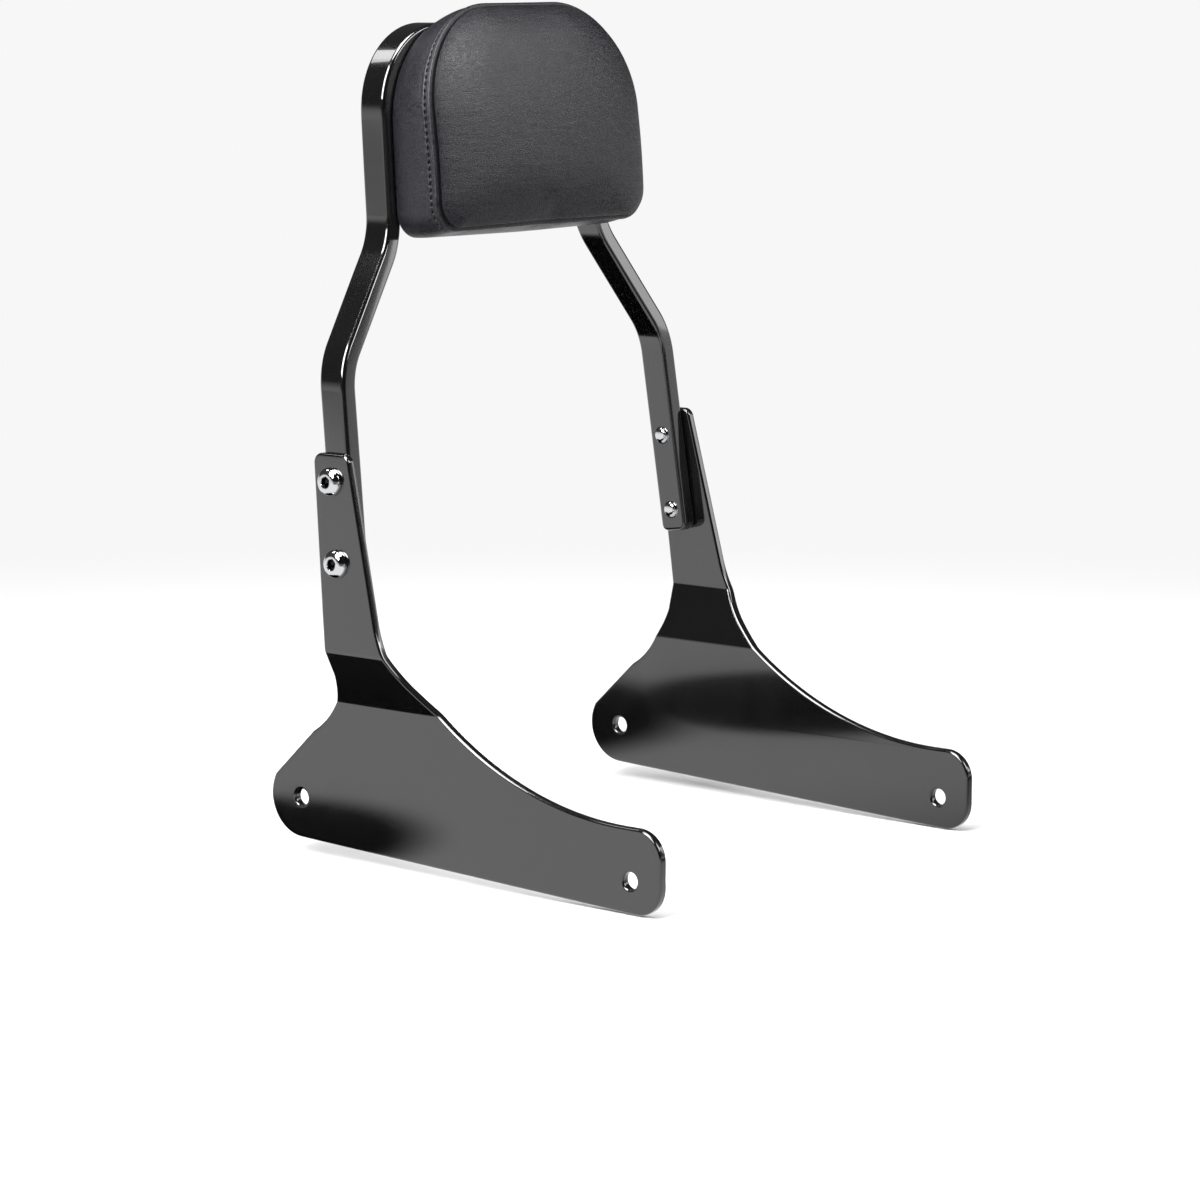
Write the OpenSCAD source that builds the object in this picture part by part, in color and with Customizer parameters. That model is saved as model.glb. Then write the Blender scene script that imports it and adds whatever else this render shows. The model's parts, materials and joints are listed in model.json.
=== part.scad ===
// Sissy bar for a motorcycle: a bent flat-bar hoop with a backrest pad, bolted between two
// jogged side plates that carry it on the machine.
// Frame: X is across the machine (the rider's left is +X), Y points to the rear, Z is up.
// The origin is the middle of the line through the two front mounting holes.

/* [Hoop] */
// Thickness of the flat bar, across the machine
bar_thick = 12; // [8:0.5:14]
// Depth of the flat bar, front to rear
bar_depth = 20; // [16:0.5:25]
// Bend radius on the middle of the bar
bend_r = 46; // [36:1:50]
// Bend radius of the hoop's top corners on the middle of the bar
bend_top_r = 50; // [44:1:56]
// Half the distance between the leg middles at the lower bend
leg_half = 155.5; // [140:0.5:170]
// Half the distance between the leg middles beside the pad
top_half = 99.5; // [90:0.5:110]
// Height of the lower bend
bend_low_z = 285; // [275:1:295]
// Height of the upper bend
bend_up_z = 360; // [350:1:370]
// Height of the hoop's top edge
hoop_top_z = 491.5; // [485:0.5:510]
// Height of the legs' lower ends
leg_end_z = 153; // [148:1:156]
// How far the lower bend lies behind the front mounting holes
bend_low_y = 233.2; // [225:0.1:240]
// Outward splay of the lower legs in degrees
leg_splay = 2.4; // [0:0.1:4]
// Rearward lean of the lower legs in degrees
lean_leg = 7.1; // [4:0.1:9]
// Rearward lean of the slanted lengths in degrees
lean_mid = 8.3; // [4:0.1:10]
// Rearward lean of the hoop beside the pad in degrees
lean_top = 3.2; // [1:0.1:6]

/* [Side plates] */
// Thickness of the side plates
plate_t = 6; // [5:0.5:8]
// Height of the plates' top edge
plate_top_z = 234.4; // [232:0.2:240]
// Place of the rear edge at the top
plate_rear_y = 239.7; // [238:0.1:242]
// Slope of the rear edge in degrees
plate_rear_slope = 5.5; // [4:0.1:7]
// Place of the front edge at the top
plate_front_y = 211; // [206:0.5:213]
// Slope of the front edge in degrees
plate_front_slope = 12.9; // [11:0.1:14]
// Radius of the plates' top corners
plate_corner_r = 6; // [3:0.5:8]
// Height where the inward jog begins
jog_top_z = 114.4; // [110:0.2:118]
// Height where the inward jog ends
jog_low_z = 80.4; // [78:0.2:84]
// How far the jog brings the plate inward
jog_in = 14.5; // [10:0.5:18]
// Bend radius of the jog on the middle of the plate
jog_r = 9; // [6:1:14]
// Radius of the upper part of the front sweep
sweep_up_r = 80; // [76:1:84]
// Radius of the long lower part of the front sweep
sweep_low_r = 235; // [230:1:240]
// Angle from the vertical where the two sweeps meet
sweep_joint = 47; // [45:1:49]
// Height of the flat top at the front tip
tip_top_z = 31.5; // [28:0.5:34]
// How far the tip reaches forward of the front hole
tip_reach = 23; // [21:0.5:28]
// Radius of the tip's corners
tip_r = 18; // [14:1:20]
// Depth of the plate below the front hole
tip_low = 20; // [18:1:24]
// Radius of the hollow in the rear edge
hollow_r = 50; // [46:1:54]
// Height where the hollow begins
hollow_z = 98; // [96:1:100]
// Slope in degrees at the hollow's lower end
hollow_end = 60; // [58:1:62]
// Distance from the front mounting hole back to the rear one
mount_pitch_y = 262; // [258:1:266]
// Rise from the front mounting hole to the rear one
mount_pitch_z = 16; // [12:1:20]
// Radius of the round end about the rear mounting hole
rear_lobe_r = 25.4; // [24:0.2:27]
// Diameter of the mounting holes
mount_hole_d = 10.5; // [8.5:0.5:12]

/* [Leg bolts] */
// Thread diameter of the leg bolts
bolt_d = 10; // [8:1:12]
// Distance between the two bolts of a leg
bolt_pitch = 50; // [44:1:56]
// Height of the upper leg bolt
bolt_up_z = 217; // [214:1:219]
// Diameter of the button head
head_d = 17.5; // [14:0.5:20]
// Height of the button head
head_h = 5.5; // [4:0.1:6.5]
// Width across the flats of the hex socket
socket_af = 6; // [5:0.5:8]
// Depth of the hex socket
socket_deep = 3; // [2:0.1:4]
// How far the bolt's end stands out of the bar
stud_out = 2.6; // [1:0.1:5]
// Extra diameter of the holes through the plates
hole_clear = 0.6; // [0.3:0.1:1]
// Extra diameter of the threaded holes
thread_clear = 0.1; // [0.05:0.05:0.2]

/* [Pad] */
// How far the pad's sides lie inside the hoop's outside
pad_side = 6.3; // [4:0.1:10]
// Height of the pad
pad_h = 136.5; // [130:0.5:142]
// Distance from the pad's back to the front seam at half height
pad_seam = 35.4; // [32:0.2:39]
// How much nearer to the back the seam lies at the top than at half height
pad_taper = 5.7; // [0:0.1:8]
// How far the seam curves back at the top and bottom
pad_arch = 4.4; // [0:0.1:6]
// How far the face stands proud of the seam at its middle
pad_crown = 8; // [5:0.5:12]
// Radius of the upper corners
pad_top_r = 67; // [56:1:74]
// Radius of the lower corners
pad_low_r = 17; // [12:1:24]
// Height of the pad's frame point, between its top and bottom
pad_z = 445; // [440:1:450]
// How far the pad reaches below its frame point
pad_below = 80; // [77:1:83]
// How far the pad's back sits below its front seam
pad_rake = 5.5; // [0:0.5:7]
// Radius of the pad's back edge
pad_back_r = 3; // [2:0.5:5]
// How far the pad's side bulges out at its middle
pad_bulge = 1.2; // [0:0.1:2]
// Thickness of the cover
skin_t = 1.5; // [1:0.1:2.5]
// Width of the cover's turned-in edge behind the board
turn_in = 14; // [8:1:20]
// Thickness of the board in the pad
board_t = 10; // [8:0.5:14]
// How far the board's edge lies inside the pad's outline
board_inset = 4; // [3:0.5:8]
// Clearance between the soft pieces
soft_gap = 0.3; // [0.2:0.1:0.5]

/* [Pad fixing] */
// Height of the cross plate
cross_h = 62; // [54:1:70]
// Thickness of the cross plate
cross_t = 4; // [3:0.5:6]
// How far the middle of the cross plate lies below the pad's frame point
cross_drop = 14; // [8:1:18]
// Distance between the pad screws, across
screw_x = 110; // [90:1:120]
// Distance between the pad screws, up and down
screw_z = 38; // [30:1:40]
// Thread diameter of the pad screws
screw_d = 6; // [5:1:6]
// Length of the pad screws under the head
screw_len = 16; // [15:0.5:17]
// Diameter of the pad screws' heads
screw_head_d = 10.5; // [9:0.5:12]
// Height of the pad screws' heads
screw_head_h = 3.3; // [2.5:0.1:4]
// Width across the flats of the pad screws' sockets
screw_af = 4; // [3:0.5:4.5]
// Diameter of the washers
washer_d = 12.5; // [12:0.5:14]
// Thickness of the washers
washer_t = 1.6; // [1:0.1:2]
// Outer diameter of the tee nuts' barrels
tee_d = 8; // [7.5:0.1:9]
// Diameter of the tee nuts' flanges
tee_flange_d = 19; // [16:1:22]
// Thickness of the tee nuts' flanges
tee_flange_t = 1.5; // [1:0.1:2]
// How far the tee nuts' barrels end short of the board's back
tee_short = 1.5; // [0.5:0.1:3]

/* [Hidden] */

black_paint = [0.07, 0.07, 0.08];
chrome = [0.85, 0.86, 0.88];
zinc = [0.66, 0.67, 0.68];
black_vinyl = [0.16, 0.16, 0.18];
foam_yellow = [0.85, 0.78, 0.55];
plywood = [0.72, 0.56, 0.38];

// Sides of the machine
RIGHT = -1;
LEFT = 1;
// Rows of fasteners
UPPER = 1;
LOWER = -1;

// Reach of the cutting shapes, and how far a path runs on past the edge that cuts it
BIG = 400;
BEYOND = 20;
// Straight steps along a bend, a small corner, an outline's long arc and a pad corner
BEND_STEPS = 14;
CORNER_STEPS = 8;
EDGE_STEPS = 20;
PAD_STEPS = 14;

// The board's back lies on the cover's turned-in edge
board_back = skin_t;
// Radius of the legs' lower corners
leg_end_r = 5;
hoop_mid_z = hoop_top_z - bar_thick / 2;
bend_up_y = bend_low_y + tan(lean_mid) * (bend_up_z - bend_low_z);

function unit(v) = v / norm(v);
function dir(a) = [cos(a), sin(a)];
function left_of(v) = [-v[1], v[0]];
function angle_of(v) = atan2(v[1], v[0]);
function turn(u, v) = atan2(u[0] * v[1] - u[1] * v[0], u * v);
function arc(c, r, a0, a1, n) = [for (i = [0:n]) c + r * dir(a0 + (a1 - a0) * i / n)];

// Stations [point, heading] round the corner p1 of a path, on a circle of radius r
function bend(p0, p1, p2, r, n) =
    let (u = unit(p1 - p0), v = unit(p2 - p1), t = turn(u, v), side = sign(t),
         start = p1 - u * r * tan(abs(t) / 2),
         centre = start + left_of(u) * r * side)
    [for (i = [0:n]) let (a = angle_of(u) + t * i / n) [centre - left_of(dir(a)) * r * side, a]];

// Stations along the path p with its corners rounded to the radii in r
function track(p, r, n) =
    let (last = len(p) - 1)
    concat([[p[0], angle_of(p[1] - p[0])]],
           [for (i = [1:last - 1]) each bend(p[i - 1], p[i], p[i + 1], r[i - 1], n)],
           [[p[last], angle_of(p[last] - p[last - 1])]]);

// Outline of a strip of width w that follows the stations t
function strip(t, w) =
    concat([for (s = t) s[0] + left_of(dir(s[1])) * w / 2],
           [for (i = [len(t) - 1:-1:0]) t[i][0] - left_of(dir(t[i][1])) * w / 2]);

// Middle of a lower leg, or a face parallel to it and off outside it
function leg_x(z, off = 0) = leg_half + tan(leg_splay) * (bend_low_z - z) + off / cos(leg_splay);
function leg_y(z) = bend_low_y + tan(lean_leg) * (z - bend_low_z);
function hoop_y(z) = bend_up_y + tan(lean_top) * (z - bend_up_z);

// Half the bar's depth along Y, in the hoop's upper stretch
half_depth_y = bar_depth / 2 / cos((lean_mid + lean_top) / 2);
pad_y = hoop_y(pad_z) - half_depth_y;
bolt_low_z = bolt_up_z - bolt_pitch * cos(lean_leg) * cos(leg_splay);

// An outline in X and Z, carried along Y
module along_y(points) {
    translate([0, BIG, 0])
        rotate([90, 0, 0])
            linear_extrude(height = BIG)
                polygon(points);
}

// An outline in Y and Z, carried along X between x0 and x1
module along_x(points, x0, x1) {
    translate([x0, 0, 0])
        rotate([90, 0, 90])
            linear_extrude(height = x1 - x0)
                polygon(points);
}

// Puts a piece that points along +Z on a leg, pointing outward at height z
module on_leg(side, z) {
    translate([side * leg_x(z), leg_y(z), z])
        rotate([0, side * (90 - leg_splay), 0])
            children();
}

// Puts a piece in the pad's frame: its back lies in the plane Y = 0, its face towards -Y
module pad_frame() {
    translate([0, pad_y, pad_z])
        rotate([-lean_top, 0, 0])
            children();
}

// Puts a piece that points along +Z on a pad screw's axis, pointing to the rear
module on_pad_screw(side, row, y) {
    pad_frame()
        translate([side * screw_x / 2, y, -cross_drop + row * screw_z / 2])
            rotate([-90, 0, 0])
                children();
}

module hex(af, h) {
    cylinder(d = af / cos(30), h = h, $fn = 6);
}

// Hoop

half_path = [
    [leg_x(leg_end_z - bar_depth), leg_end_z - bar_depth],
    [leg_half, bend_low_z],
    [top_half, bend_up_z],
    [top_half, hoop_mid_z]];
hoop_path = concat(half_path, [for (i = [3:-1:0]) [-half_path[i][0], half_path[i][1]]]);
hoop_radii = [bend_r, bend_r, bend_top_r, bend_top_r, bend_r, bend_r];
hoop_track = track(hoop_path, hoop_radii, BEND_STEPS);

// The front (s = -1) or rear (s = 1) edge of the bar seen from the side, as [y, z] from below upward
function side_edge(s) =
    let (low = s * bar_depth / 2 / cos((lean_leg + lean_mid) / 2),
         up = s * half_depth_y,
         end_z = hoop_top_z + bar_depth)
    [[bend_low_y + low, bend_low_z], [bend_up_y + up, bend_up_z], [hoop_y(end_z) + up, end_z]];

// The rounded lower end of a leg seen from the side, from its front edge to its rear edge
function leg_end_arcs() =
    let (up = [sin(lean_leg), cos(lean_leg)],
         rear = [cos(lean_leg), -sin(lean_leg)],
         foot = [leg_y(leg_end_z), leg_end_z])
    [for (s = [-1, 1])
        let (centre = foot + rear * s * (bar_depth / 2 - leg_end_r) + up * leg_end_r,
             start = (s < 0 ? 180 : 270) - lean_leg)
        each arc(centre, leg_end_r, start, start + 90, CORNER_STEPS)];

module hoop_bar() {
    color(black_paint)
        difference() {
            intersection() {
                along_y(strip(hoop_track, bar_thick));
                along_x(concat(leg_end_arcs(), side_edge(1), [for (i = [2:-1:0]) side_edge(-1)[i]]),
                        -BIG, BIG);
            }
            for (side = [RIGHT, LEFT], z = [bolt_up_z, bolt_low_z])
                on_leg(side, z)
                    translate([0, 0, -bar_thick])
                        cylinder(d = bolt_d + thread_clear, h = 2 * bar_thick, $fn = 64);
        }
}

// Cross plate, welded between the legs with its front face level with the bar's; its upper corners
// follow the inside of the hoop's top bends

module cross_plate() {
    color(black_paint)
        difference() {
            intersection() {
                pad_frame()
                    translate([-top_half, 0, -cross_drop - cross_h / 2])
                        cube([2 * top_half, cross_t, cross_h]);
                along_y([for (s = hoop_track) s[0] + left_of(dir(s[1])) * bar_thick / 2]);
            }
            for (side = [RIGHT, LEFT], row = [UPPER, LOWER])
                on_pad_screw(side, row, -1)
                    cylinder(d = screw_d + hole_clear, h = cross_t + 2, $fn = 48);
        }
}

// Side plates

sweep_up_z = tip_top_z + sweep_low_r * (1 - sin(sweep_joint))
    + sweep_up_r * (sin(sweep_joint) - sin(plate_front_slope));
sweep_up_y = plate_front_y - tan(plate_front_slope) * (plate_top_z - sweep_up_z);
sweep_low_y = sweep_up_y - sweep_up_r * (cos(plate_front_slope) - cos(sweep_joint));
tip_flat_y = sweep_low_y - sweep_low_r * cos(sweep_joint);
hollow_y = plate_rear_y - tan(plate_rear_slope) * (plate_top_z - hollow_z);
mount_rise = angle_of([mount_pitch_y, mount_pitch_z]);

// The plate seen from the side, as [y, z], starting at the upper end of the front edge
plate_outline = concat(
    arc([plate_front_y + plate_corner_r, plate_top_z - plate_corner_r], plate_corner_r,
        90, 180 - plate_front_slope, CORNER_STEPS),
    arc([sweep_up_y, sweep_up_z] - sweep_up_r * dir(-plate_front_slope), sweep_up_r,
        -plate_front_slope, -sweep_joint, EDGE_STEPS),
    arc([tip_flat_y, tip_top_z + sweep_low_r], sweep_low_r, -sweep_joint, -90, 2 * EDGE_STEPS),
    arc([tip_r - tip_reach, tip_top_z - tip_r], tip_r, 90, 180, CORNER_STEPS),
    arc([tip_r - tip_reach, tip_r - tip_low], tip_r, 180, 270, CORNER_STEPS),
    arc([mount_pitch_y, mount_pitch_z], rear_lobe_r, mount_rise - 90, 90 - hollow_end, EDGE_STEPS),
    arc([hollow_y, hollow_z] + hollow_r * dir(plate_rear_slope), hollow_r,
        180 + hollow_end, 180 + plate_rear_slope, EDGE_STEPS),
    arc([plate_rear_y - plate_corner_r, plate_top_z - plate_corner_r], plate_corner_r,
        -plate_rear_slope, 90, CORNER_STEPS));

plate_mid = (bar_thick + plate_t) / 2;
jog_x = leg_x(jog_top_z, plate_mid);
plate_path = [
    [leg_x(plate_top_z + BEYOND, plate_mid), plate_top_z + BEYOND],
    [jog_x, jog_top_z],
    [jog_x - jog_in, jog_low_z],
    [jog_x - jog_in, -tip_low - BEYOND]];

module plate_blank() {
    intersection() {
        along_x(plate_outline, leg_half - BIG / 4, leg_half + BIG / 4);
        translate([0, -BIG / 4, 0])
            along_y(strip(track(plate_path, [jog_r, jog_r], CORNER_STEPS), plate_t));
    }
}

module side_plate(side) {
    color(black_paint)
        difference() {
            if (side == LEFT) plate_blank();
            else mirror([1, 0, 0]) plate_blank();
            for (z = [bolt_up_z, bolt_low_z])
                on_leg(side, z)
                    cylinder(d = bolt_d + hole_clear, h = 2 * plate_mid, $fn = 64);
            for (p = [[0, 0], [mount_pitch_y, mount_pitch_z]])
                translate([side * (leg_half - jog_in) - BIG / 8, p[0], p[1]])
                    rotate([0, 90, 0])
                        cylinder(d = mount_hole_d, h = BIG / 4, $fn = 64);
        }
}

// A round piece turned from the profile of [radius, height] points
module turned(profile) {
    rotate_extrude($fn = 96)
        polygon(profile);
}

// Half profile of a button head that stands on height z: a low rim, then a quarter ellipse up to
// the flat ring about a socket of width af across its flats
function button_head(rim, h, edge, af, z) =
    let (w = rim - af * 0.75)
    concat([[rim, z], [rim, z + edge]],
           [for (a = [90 / CORNER_STEPS:90 / CORNER_STEPS:90])
               [rim - w * (1 - cos(a)), z + edge + (h - edge) * sin(a)]],
           [[0, z + h]]);

// Leg bolts: button heads outside the plates, threaded into the bar, with a domed end

module leg_bolt(side, z) {
    seat = bar_thick / 2 + plate_t;
    tip = -bar_thick / 2 - stud_out;
    r = bolt_d / 2;
    dome = 1.3;
    color(chrome)
        on_leg(side, z)
            difference() {
                turned(concat(
                    [[0, tip]],
                    [for (a = [60:-15:0]) [r - dome * (1 - cos(a)), tip + dome * (1 - sin(a))]],
                    [[r, seat]],
                    button_head(head_d / 2, head_h, 1, socket_af, seat)));
                translate([0, 0, seat + head_h - socket_deep])
                    hex(socket_af, socket_deep + 1);
            }
}

// Pad

// Half outline of the pad as [x, z], the upper corner and then the lower, inset by s and dropped
// by drop
function pad_half(s, drop) =
    let (w = top_half + bar_thick / 2 - pad_side, top = pad_h - pad_below - drop, low = -pad_below - drop)
    concat(arc([w - pad_top_r, top - pad_top_r], pad_top_r - s, 90, 0, PAD_STEPS),
           arc([w - pad_low_r, low + pad_low_r], pad_low_r - s, 0, -90, PAD_STEPS));

// The whole outline at depth d in front of the pad's back
function pad_outline(s, d = pad_seam) =
    let (h = pad_half(s, pad_rake * (1 - d / pad_seam)), n = len(h))
    concat(h, [for (i = [n - 1:-1:0]) [-h[i][0], h[i][1]]]);

// Depth of the front seam at height z, and of a point of the side that would lie at depth d if the seam
// were level
function seam_depth(z) =
    let (half = pad_h / 2, v = (z + pad_below - half) / half)
    pad_seam - pad_taper * v - pad_arch * v * v;
function side_depth(d, z) =
    d - max(d - pad_back_r, 0) * (pad_seam - seam_depth(z)) / (pad_seam - pad_back_r);

// Rings of a crowned surface, inset by t from the pad's outline and t deep: the first lies at depth back
// or at the seam, the others rise from just past the seam to the middle of the face, and the last point
// is that middle
dome_steps = [1, 0.985, 0.95, 0.88, 0.76, 0.6, 0.4, 0.2];
dome_rows = len(dome_steps) + 1;
dome_ring = len(pad_outline(0));
edge_rise = 1;
function dome_points(t, back = 0) =
    let (mid_z = pad_h / 2 - pad_below, rim = max(edge_rise - t, soft_gap), crown = pad_crown - t)
    concat([for (p = pad_outline(t, back > 0 ? back : pad_seam))
               [p[0], back > 0 ? -back : -seam_depth(p[1]), p[1]]],
           [for (k = dome_steps, p = pad_outline(t))
               let (z = mid_z + (p[1] - mid_z) * k)
               [p[0] * k, -seam_depth(z) - rim - (crown - rim) * pow(1 - pow(k, 3), 0.6), z]],
           [[0, -seam_depth(mid_z) - crown, mid_z]]);

// Triangles over those rings, seen from the front; first is the index of the first point
function dome_faces(first) =
    let (n = dome_ring, last = first + (dome_rows - 1) * n)
    concat([for (j = [0:dome_rows - 2], i = [0:n - 1])
               let (a = first + j * n + i, b = first + j * n + (i + 1) % n)
               each [[a, b, a + n], [b, b + n, a + n]]],
           [for (i = [0:n - 1]) [last + i, last + (i + 1) % n, last + n]]);
function flipped(faces) = [for (f = faces) [f[0], f[2], f[1]]];

// Section of the pad's side as [inset, depth], from the turned-in edge round to the seam; t is the
// distance inside the cover's outer surface
function band_section(t) =
    let (r = pad_back_r, rise = pad_seam - r)
    concat([[turn_in, t]],
           [for (a = [0:22.5:90]) [r - (r - t) * sin(a), r - (r - t) * cos(a)]],
           [for (u = [0.25:0.25:0.75]) [t - pad_bulge * 4 * u * (1 - u), r + rise * u]],
           [[t, pad_seam]]);

module pad_band() {
    outer = band_section(0);
    inner = band_section(skin_t);
    section = concat(outer, [for (i = [len(inner) - 1:-1:0]) inner[i]]);
    rows = len(section);
    n = dome_ring;
    points = [for (q = section, p = pad_outline(q[0], q[1])) [p[0], -side_depth(q[1], p[1]), p[1]]];
    faces = [for (j = [0:rows - 1], i = [0:n - 1])
        let (k = (j + 1) % rows, next = (i + 1) % n,
             a = j * n + i, b = j * n + next, c = k * n + i, d = k * n + next)
        each [[a, b, c], [b, d, c]]];
    color(black_vinyl)
        pad_frame()
            polyhedron(points = points, faces = faces, convexity = 6);
}

module pad_face() {
    n = dome_ring;
    inner = n * dome_rows + 1;
    rim = [for (i = [0:n - 1]) let (j = (i + 1) % n) each [[i, inner + i, j], [j, inner + i, inner + j]]];
    color(black_vinyl)
        pad_frame()
            polyhedron(points = concat(dome_points(0), dome_points(skin_t)),
                faces = concat(dome_faces(0), flipped(dome_faces(inner)), rim), convexity = 4);
}

module pad_foam() {
    color(foam_yellow)
        pad_frame()
            polyhedron(points = dome_points(skin_t + soft_gap, board_back + board_t + soft_gap),
                faces = concat(dome_faces(0), [[for (i = [dome_ring - 1:-1:0]) i]]), convexity = 4);
}

module pad_board() {
    color(plywood)
        pad_frame()
            difference() {
                translate([0, -board_back, 0])
                    rotate([90, 0, 0])
                        linear_extrude(height = board_t)
                            polygon(pad_outline(board_inset, board_back + board_t / 2));
                for (side = [RIGHT, LEFT], row = [UPPER, LOWER])
                    translate([side * screw_x / 2, -board_back - board_t, -cross_drop + row * screw_z / 2])
                        rotate([-90, 0, 0]) {
                            cylinder(d = tee_d + thread_clear, h = board_t + 1, $fn = 48);
                            translate([0, 0, -1])
                                cylinder(d = tee_flange_d + soft_gap, h = tee_flange_t + 1, $fn = 64);
                        }
            }
}

// Pad fixing: screws from the rear, through washers and the cross plate, into tee nuts

module pad_washer(side, row) {
    color(zinc)
        on_pad_screw(side, row, cross_t)
            difference() {
                cylinder(d = washer_d, h = washer_t, $fn = 64);
                translate([0, 0, -1])
                    cylinder(d = screw_d + hole_clear, h = washer_t + 2, $fn = 48);
            }
}

module pad_screw(side, row) {
    r = screw_d / 2;
    chamfer = 0.6;
    color(chrome)
        on_pad_screw(side, row, cross_t + washer_t)
            difference() {
                turned(concat(
                    [[0, -screw_len], [r - chamfer, -screw_len], [r, chamfer - screw_len], [r, 0]],
                    button_head(screw_head_d / 2, screw_head_h, chamfer, screw_af, 0)));
                translate([0, 0, screw_head_h * 0.4])
                    hex(screw_af, screw_head_h);
            }
}

module tee_nut(side, row) {
    color(zinc)
        on_pad_screw(side, row, -board_back - board_t)
            difference() {
                union() {
                    cylinder(d = tee_flange_d, h = tee_flange_t, $fn = 64);
                    cylinder(d = tee_d, h = board_t - tee_short, $fn = 64);
                }
                translate([0, 0, -1])
                    cylinder(d = screw_d + thread_clear, h = board_t + 2, $fn = 48);
            }
}

hoop_bar();
cross_plate();
side_plate(RIGHT);  // side_plate_right
side_plate(LEFT);  // side_plate_left
leg_bolt(RIGHT, bolt_up_z);  // leg_bolt_right_upper
leg_bolt(RIGHT, bolt_low_z);  // leg_bolt_right_lower
leg_bolt(LEFT, bolt_up_z);  // leg_bolt_left_upper
leg_bolt(LEFT, bolt_low_z);  // leg_bolt_left_lower
pad_board();
pad_foam();
pad_face();
pad_band();
pad_screw(RIGHT, UPPER);  // pad_screw_right_upper
pad_screw(RIGHT, LOWER);  // pad_screw_right_lower
pad_screw(LEFT, UPPER);  // pad_screw_left_upper
pad_screw(LEFT, LOWER);  // pad_screw_left_lower
pad_washer(RIGHT, UPPER);  // pad_washer_right_upper
pad_washer(RIGHT, LOWER);  // pad_washer_right_lower
pad_washer(LEFT, UPPER);  // pad_washer_left_upper
pad_washer(LEFT, LOWER);  // pad_washer_left_lower
tee_nut(RIGHT, UPPER);  // tee_nut_right_upper
tee_nut(RIGHT, LOWER);  // tee_nut_right_lower
tee_nut(LEFT, UPPER);  // tee_nut_left_upper
tee_nut(LEFT, LOWER);  // tee_nut_left_lower
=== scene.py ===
"""Looks of a sissy bar: a flat-bar hoop with a stitched pad between two side plates.

Lengths are metres in the object's own frame: X runs across, with the left side at +X, Y to the rear and
Z up, and the origin is midway between the two front mounting holes. Each sub-assembly is a class that
holds its sizes and builds its own pieces; each finish is a small frozen dataclass that makes one material.
"""

import json
import logging
import math
from dataclasses import dataclass, field
from enum import Enum
from typing import Callable, Sequence

import bmesh
import bpy
import numpy as np
from mathutils import Matrix, Vector
from mathutils.geometry import tessellate_polygon

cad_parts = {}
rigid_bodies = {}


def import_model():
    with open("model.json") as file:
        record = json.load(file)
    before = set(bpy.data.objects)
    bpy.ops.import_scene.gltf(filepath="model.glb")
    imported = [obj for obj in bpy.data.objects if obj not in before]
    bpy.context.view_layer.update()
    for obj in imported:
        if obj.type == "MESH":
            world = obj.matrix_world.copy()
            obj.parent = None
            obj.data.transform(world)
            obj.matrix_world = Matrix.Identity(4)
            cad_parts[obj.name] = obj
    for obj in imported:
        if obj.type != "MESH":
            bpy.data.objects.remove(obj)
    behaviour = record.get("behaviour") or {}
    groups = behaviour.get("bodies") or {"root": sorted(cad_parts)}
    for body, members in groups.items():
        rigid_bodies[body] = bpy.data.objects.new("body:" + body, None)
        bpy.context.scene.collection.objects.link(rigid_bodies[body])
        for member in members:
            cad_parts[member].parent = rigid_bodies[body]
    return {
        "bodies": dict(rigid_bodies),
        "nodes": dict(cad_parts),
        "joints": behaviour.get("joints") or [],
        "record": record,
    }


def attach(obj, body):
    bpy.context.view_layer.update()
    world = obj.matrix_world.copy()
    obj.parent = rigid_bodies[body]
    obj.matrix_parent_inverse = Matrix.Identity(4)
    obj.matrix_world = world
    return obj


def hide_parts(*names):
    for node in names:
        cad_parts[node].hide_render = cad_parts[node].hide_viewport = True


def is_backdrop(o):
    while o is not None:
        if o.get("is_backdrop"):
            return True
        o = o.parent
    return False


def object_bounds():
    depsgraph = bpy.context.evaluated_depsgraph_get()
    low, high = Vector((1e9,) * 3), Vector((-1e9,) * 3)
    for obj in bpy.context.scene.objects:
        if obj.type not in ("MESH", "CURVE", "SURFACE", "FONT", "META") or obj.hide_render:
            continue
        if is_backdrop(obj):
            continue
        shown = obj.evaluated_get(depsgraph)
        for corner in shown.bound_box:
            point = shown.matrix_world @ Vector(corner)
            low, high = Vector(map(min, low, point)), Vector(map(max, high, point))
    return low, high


Array = np.ndarray
Color = tuple[float, float, float]
Tree = bpy.types.ShaderNodeTree
Node = bpy.types.Node
Socket = bpy.types.NodeSocket
LOG = logging.getLogger("sissy_bar")
MM = 0.001


class Side(Enum):
    """A side of the object, with the sign of its X."""

    RIGHT = -1
    LEFT = 1


class Row(Enum):
    """A row of fasteners, with the sign of its height."""

    UPPER = 1
    LOWER = -1


def node_name(start: str, side: Side, row: Row | None = None) -> str:
    """Name of a construction node, such as pad_screw_left_upper."""
    return "_".join([start, side.name.lower()] + ([row.name.lower()] if row else []))


# Arrays and outlines


def headings(angle: Array) -> Array:
    """Unit vectors of the given angles, in radians."""
    return np.stack([np.cos(angle), np.sin(angle)], axis=-1)


def arc(centre: Sequence[float], radius: float, start: float, end: float, steps: int) -> Array:
    """Points on a circle: the centre plus the radius times the unit vector of each angle.

    Args:
        centre: Middle of the circle.
        radius: Its radius.
        start: First angle in degrees.
        end: Last angle in degrees.
        steps: Number of straight steps.

    Returns:
        An array of steps + 1 points.
    """
    angles = np.radians(np.linspace(start, end, steps + 1))
    return np.asarray(centre, float) + radius * headings(angles)


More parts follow.
